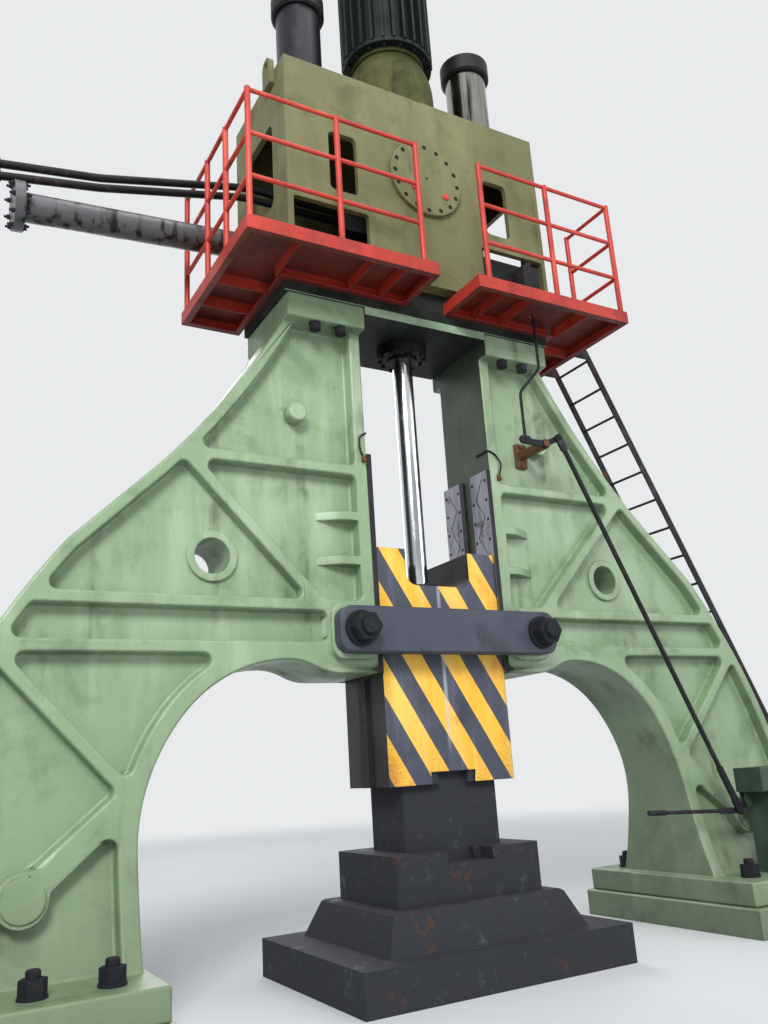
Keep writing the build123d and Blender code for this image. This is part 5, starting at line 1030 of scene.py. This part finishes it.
def ring(radius, z, count, flip=0.0):
    """Points on a ring about the motor's axis, each turned to face along it."""
    places = []
    for k in range(count):
        angle = 2 * pi * (k + 0.5) / count
        x, y = motor_axis[0] + radius * cos(angle), motor_axis[1] + radius * sin(angle)
        places.append(((x, y, z), (flip, 0.0, angle)))
    return places


bell_places = ring(bell_ring, bell_foot_z, bell_count)
motor_places = ring(motor_ring, bell_top_z, motor_count, pi)
repeat("bell_bolts", *bolt_shape(0.0125, 0.014), bell_places, fastener, "dark_fastener")
repeat("motor_bolts", *bolt_shape(0.015, 0.016), motor_places, fastener, "dark_fastener")

# %% [markdown]
# ## Weld beads
# The head is welded from plate and stands in a weld on the crosshead, and railing posts are welded
# to the deck. A bead is a row of overlapping ripples, one for each pause of the electrode. A sweep
# of a round section would be too smooth, so squashed drops are laid along the seam at the pace of
# the weld.

# %% The weld round the head's foot
head_half_width, head_half_depth, beam_top_z = 1.183, 0.512, 4.85
bead, weld_pace, weld_lift = 0.009, 0.011, 0.002


def drop(length, width, height):
    """A half sunk drop, flat enough to overlap its neighbours."""
    vertices, faces = turned([(0, -1), (0.7, -0.7), (1, 0), (0.7, 0.7), (0, 1)], 8)
    return [(x * length, y * width, z * height) for x, y, z in vertices], faces


def along(points, pace):
    """Places at even steps along a closed polyline, turned with it."""
    places = []
    for start, end in zip(points, points[1:] + points[:1]):
        run = Vector(end) - Vector(start)
        count = max(1, round(run.length / pace))
        turn = (0.0, -atan2(run.z, hypot(run.x, run.y)), atan2(run.y, run.x))
        places += [(tuple(Vector(start) + run * (k / count)), turn) for k in range(count)]
    return places


weld_z = beam_top_z + weld_lift
seam = [(x * head_half_width, y * head_half_depth, weld_z) for x, y in square]
box_foot = along(seam, weld_pace)
repeat("box_weld", *drop(bead, bead, bead), box_foot, head_olive, "head_olive", smooth=True)

# %% [markdown]
# ## Welds of the railing posts
# A post stands on the deck in a ring of the same ripples, a little finer. A torus would be quicker
# and would look cast, so the drops are set round each post one by one.

# %% The welds round the posts
deck_z, side_post_x, front_post_y, back_post_y = 4.781, 1.616, -0.861, 0.484
front_post_xs, gate_post_ys = (0.288, 0.947), (-0.355, 0.260)
post_ring, post_drops = 0.023, 14

posts = [(sign * x, front_post_y) for sign in (-1, 1) for x in front_post_xs]
posts += [(sign * side_post_x, y) for sign in (-1, 1) for y in (front_post_y, back_post_y)]
posts += [(side_post_x, y) for y in gate_post_ys]
post_weld = []
for x, y in posts:
    for k in range(post_drops):
        angle = 2 * pi * k / post_drops
        point = (x + post_ring * cos(angle), y + post_ring * sin(angle), deck_z)
        post_weld.append((point, (0.0, 0.0, angle + pi / 2)))
repeat("post_weld", *drop(0.007, 0.006, 0.007), post_weld, rail_red, "rail_red", smooth=True)

# %% [markdown]
# ## Tread plate
# The decks are chequered plate, so that oily boots don't slip. A bump would vanish from the side, and
# the lozenges are only a millimetre and a half high, so each is a real low ridge, turned by a
# quarter from one place to the next.

# %% Tread plate
half_long, half_wide, half_ridge, ridge_z, foot_z = 0.015, 0.004, 0.009, 0.0015, -0.0004
lozenge = [(-half_long, 0, foot_z), (0, -half_wide, foot_z), (half_long, 0, foot_z)]
lozenge += [(0, half_wide, foot_z), (-half_ridge, 0, ridge_z), (half_ridge, 0, ridge_z)]
lozenge_faces = [(0, 1, 4), (1, 5, 4), (1, 2, 5), (2, 3, 5), (3, 4, 5), (3, 0, 4), (3, 2, 1, 0)]

tread_step, tread_inset, tread_gap = 0.034, 0.03, 0.045
deck_front, deck_back, deck_side = -0.895, 0.518, 1.65
rod_hole = (0.94, -0.552)
treads = []
for sign, inner in ((-1, 0.180), (1, 0.166)):
    for row in range(ceil((deck_back - deck_front) / tread_step)):
        for column in range(ceil((deck_side - inner) / tread_step)):
            x = inner + tread_inset + column * tread_step
            y = deck_front + tread_inset + row * tread_step
            past_edge = x > deck_side - tread_inset or y > deck_back - tread_inset
            beside_box = y > -head_half_depth - tread_inset and x < head_half_width + tread_inset
            in_way = any(hypot(sign * x - a, y - b) < tread_gap for a, b in posts + [rod_hole])
            if not (past_edge or beside_box or in_way):
                quarter = radians(45 if (row + column) % 2 else -45)
                treads.append(((sign * x, y, deck_z), (0.0, 0.0, quarter)))
repeat("tread_plate", lozenge, lozenge_faces, treads, deck_red, "deck_red")

# %% [markdown]
# ## Threads
# The studs of the feet and the tie bolts stand out of their nuts, and the thread shows there. The
# solid ends are plain cylinders. One coil of thin wire round each reads as a thread and needs no
# boolean.

# %% Thread coils
def tube(name, route, radius, material, body="frame", sides=3):
    """Round bars along lists of points, made by a curve with a round profile and closed ends."""
    curve = bpy.data.curves.new(name + "_curve", "CURVE")
    curve.dimensions = "3D"
    curve.bevel_depth = radius
    curve.bevel_resolution = sides
    curve.use_fill_caps = True
    for points in route:
        spline = curve.splines.new("POLY")
        spline.points.add(len(points) - 1)
        weighted = np.array([(*point, 1.0) for point in points], dtype=np.float32)
        spline.points.foreach_set("co", weighted.ravel())
    draft = bpy.data.objects.new(name + "_curve", curve)
    scene.collection.objects.link(draft)
    piece = plain_mesh(draft, name)
    piece.data.materials.clear()
    piece.data.materials.append(material)
    piece.data.polygons.foreach_set("use_smooth", [True] * len(piece.data.polygons))
    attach(piece, body)
    print(name, len(piece.data.polygons), "faces")


def coil(base, axis, radius, length, pitch, steps=20):
    """Points of a helix that starts at the base and climbs along the axis."""
    lift = Vector(axis)
    one = Vector((1.0, 0.0, 0.0))
    two = lift.cross(one)
    points = []
    for k in range(int(length / pitch * steps) + 1):
        angle = 2 * pi * k / steps
        point = Vector(base) + one * (radius * cos(angle)) + two * (radius * sin(angle))
        points.append(tuple(point + lift * (pitch * k / steps)))
    return points


# the radius of the coil, its length and its pitch
stud_top_z, stud_thread, stud_wire = 0.458, (0.0352, 0.034, 0.005), 0.0016
tie_end_y, tie_thread, tie_wire = 0.578, (0.0552, 0.026, 0.006), 0.0019
foot_coils = [
    coil((sign * x, y, stud_top_z), (0, 0, 1), *stud_thread)
    for sign in (-1, 1)
    for x in stud_xs
    for y in (-stud_y, stud_y)
]
tie_coils = [
    coil((x, sign * tie_end_y, tie_bolt_axis[1]), (0, sign, 0), *tie_thread)
    for sign in (-1, 1)
    for x in (-tie_bolt_axis[0], tie_bolt_axis[0])
]
tube("stud_threads", foot_coils, stud_wire, fastener, sides=0)
tube("bolt_threads", tie_coils, tie_wire, fastener, sides=0)

# %% [markdown]
# ## Grease pipes
# The guides are greased by hand through a short pipe on the front of each column, with a nipple at
# its lower end. The pipe is bent copper tube, painted over. A free curve would sag between its
# points, so a straight route with each corner eased keeps the legs straight.

# %% Grease pipes
def eased(points, reach=0.03, steps=6):
    """The route with each inner corner replaced by a short curve."""
    route = [Vector(points[0])]
    for before, corner, after in zip(points, map(Vector, points[1:]), points[2:]):
        near = corner + (Vector(before) - corner).normalized() * reach
        far = corner + (Vector(after) - corner).normalized() * reach
        for k in range(steps + 1):
            t = k / steps
            route.append(near * (1 - t) ** 2 + corner * (2 * t * (1 - t)) + far * t**2)
    route.append(Vector(points[-1]))
    return [tuple(point) for point in route]


pipe_radius, pipe_back_y, pipe_front_y = 0.0075, -0.15, -0.309
pipe_bends = {
    "left": [(-0.535, 3.64), (-0.60, 3.60), (-0.60, 3.51), (-0.572, 3.44)],
    "right": [(0.535, 3.64), (0.60, 3.615), (0.655, 3.54), (0.62, 3.43)],
}
ends = []
for side_name, bends in pipe_bends.items():
    first_x, first_z = bends[0]
    route = [(first_x, pipe_back_y, first_z)] + [(x, pipe_front_y, z) for x, z in bends]
    tube(side_name + "_grease_pipe", [eased(route)], pipe_radius, link_black)
    ends.append(route[-1])
nipples = [((x, y, z - 0.012), (0.0, 0.0, 0.0)) for x, y, z in ends]
nipples += [((x, y + 0.006, z - 0.02), (pi / 2, 0.0, 0.0)) for x, y, z in ends]
repeat("grease_nipples", *bolt_shape(0.017, 0.03), nipples, brown_steel, "dark_fastener")

# %% [markdown]
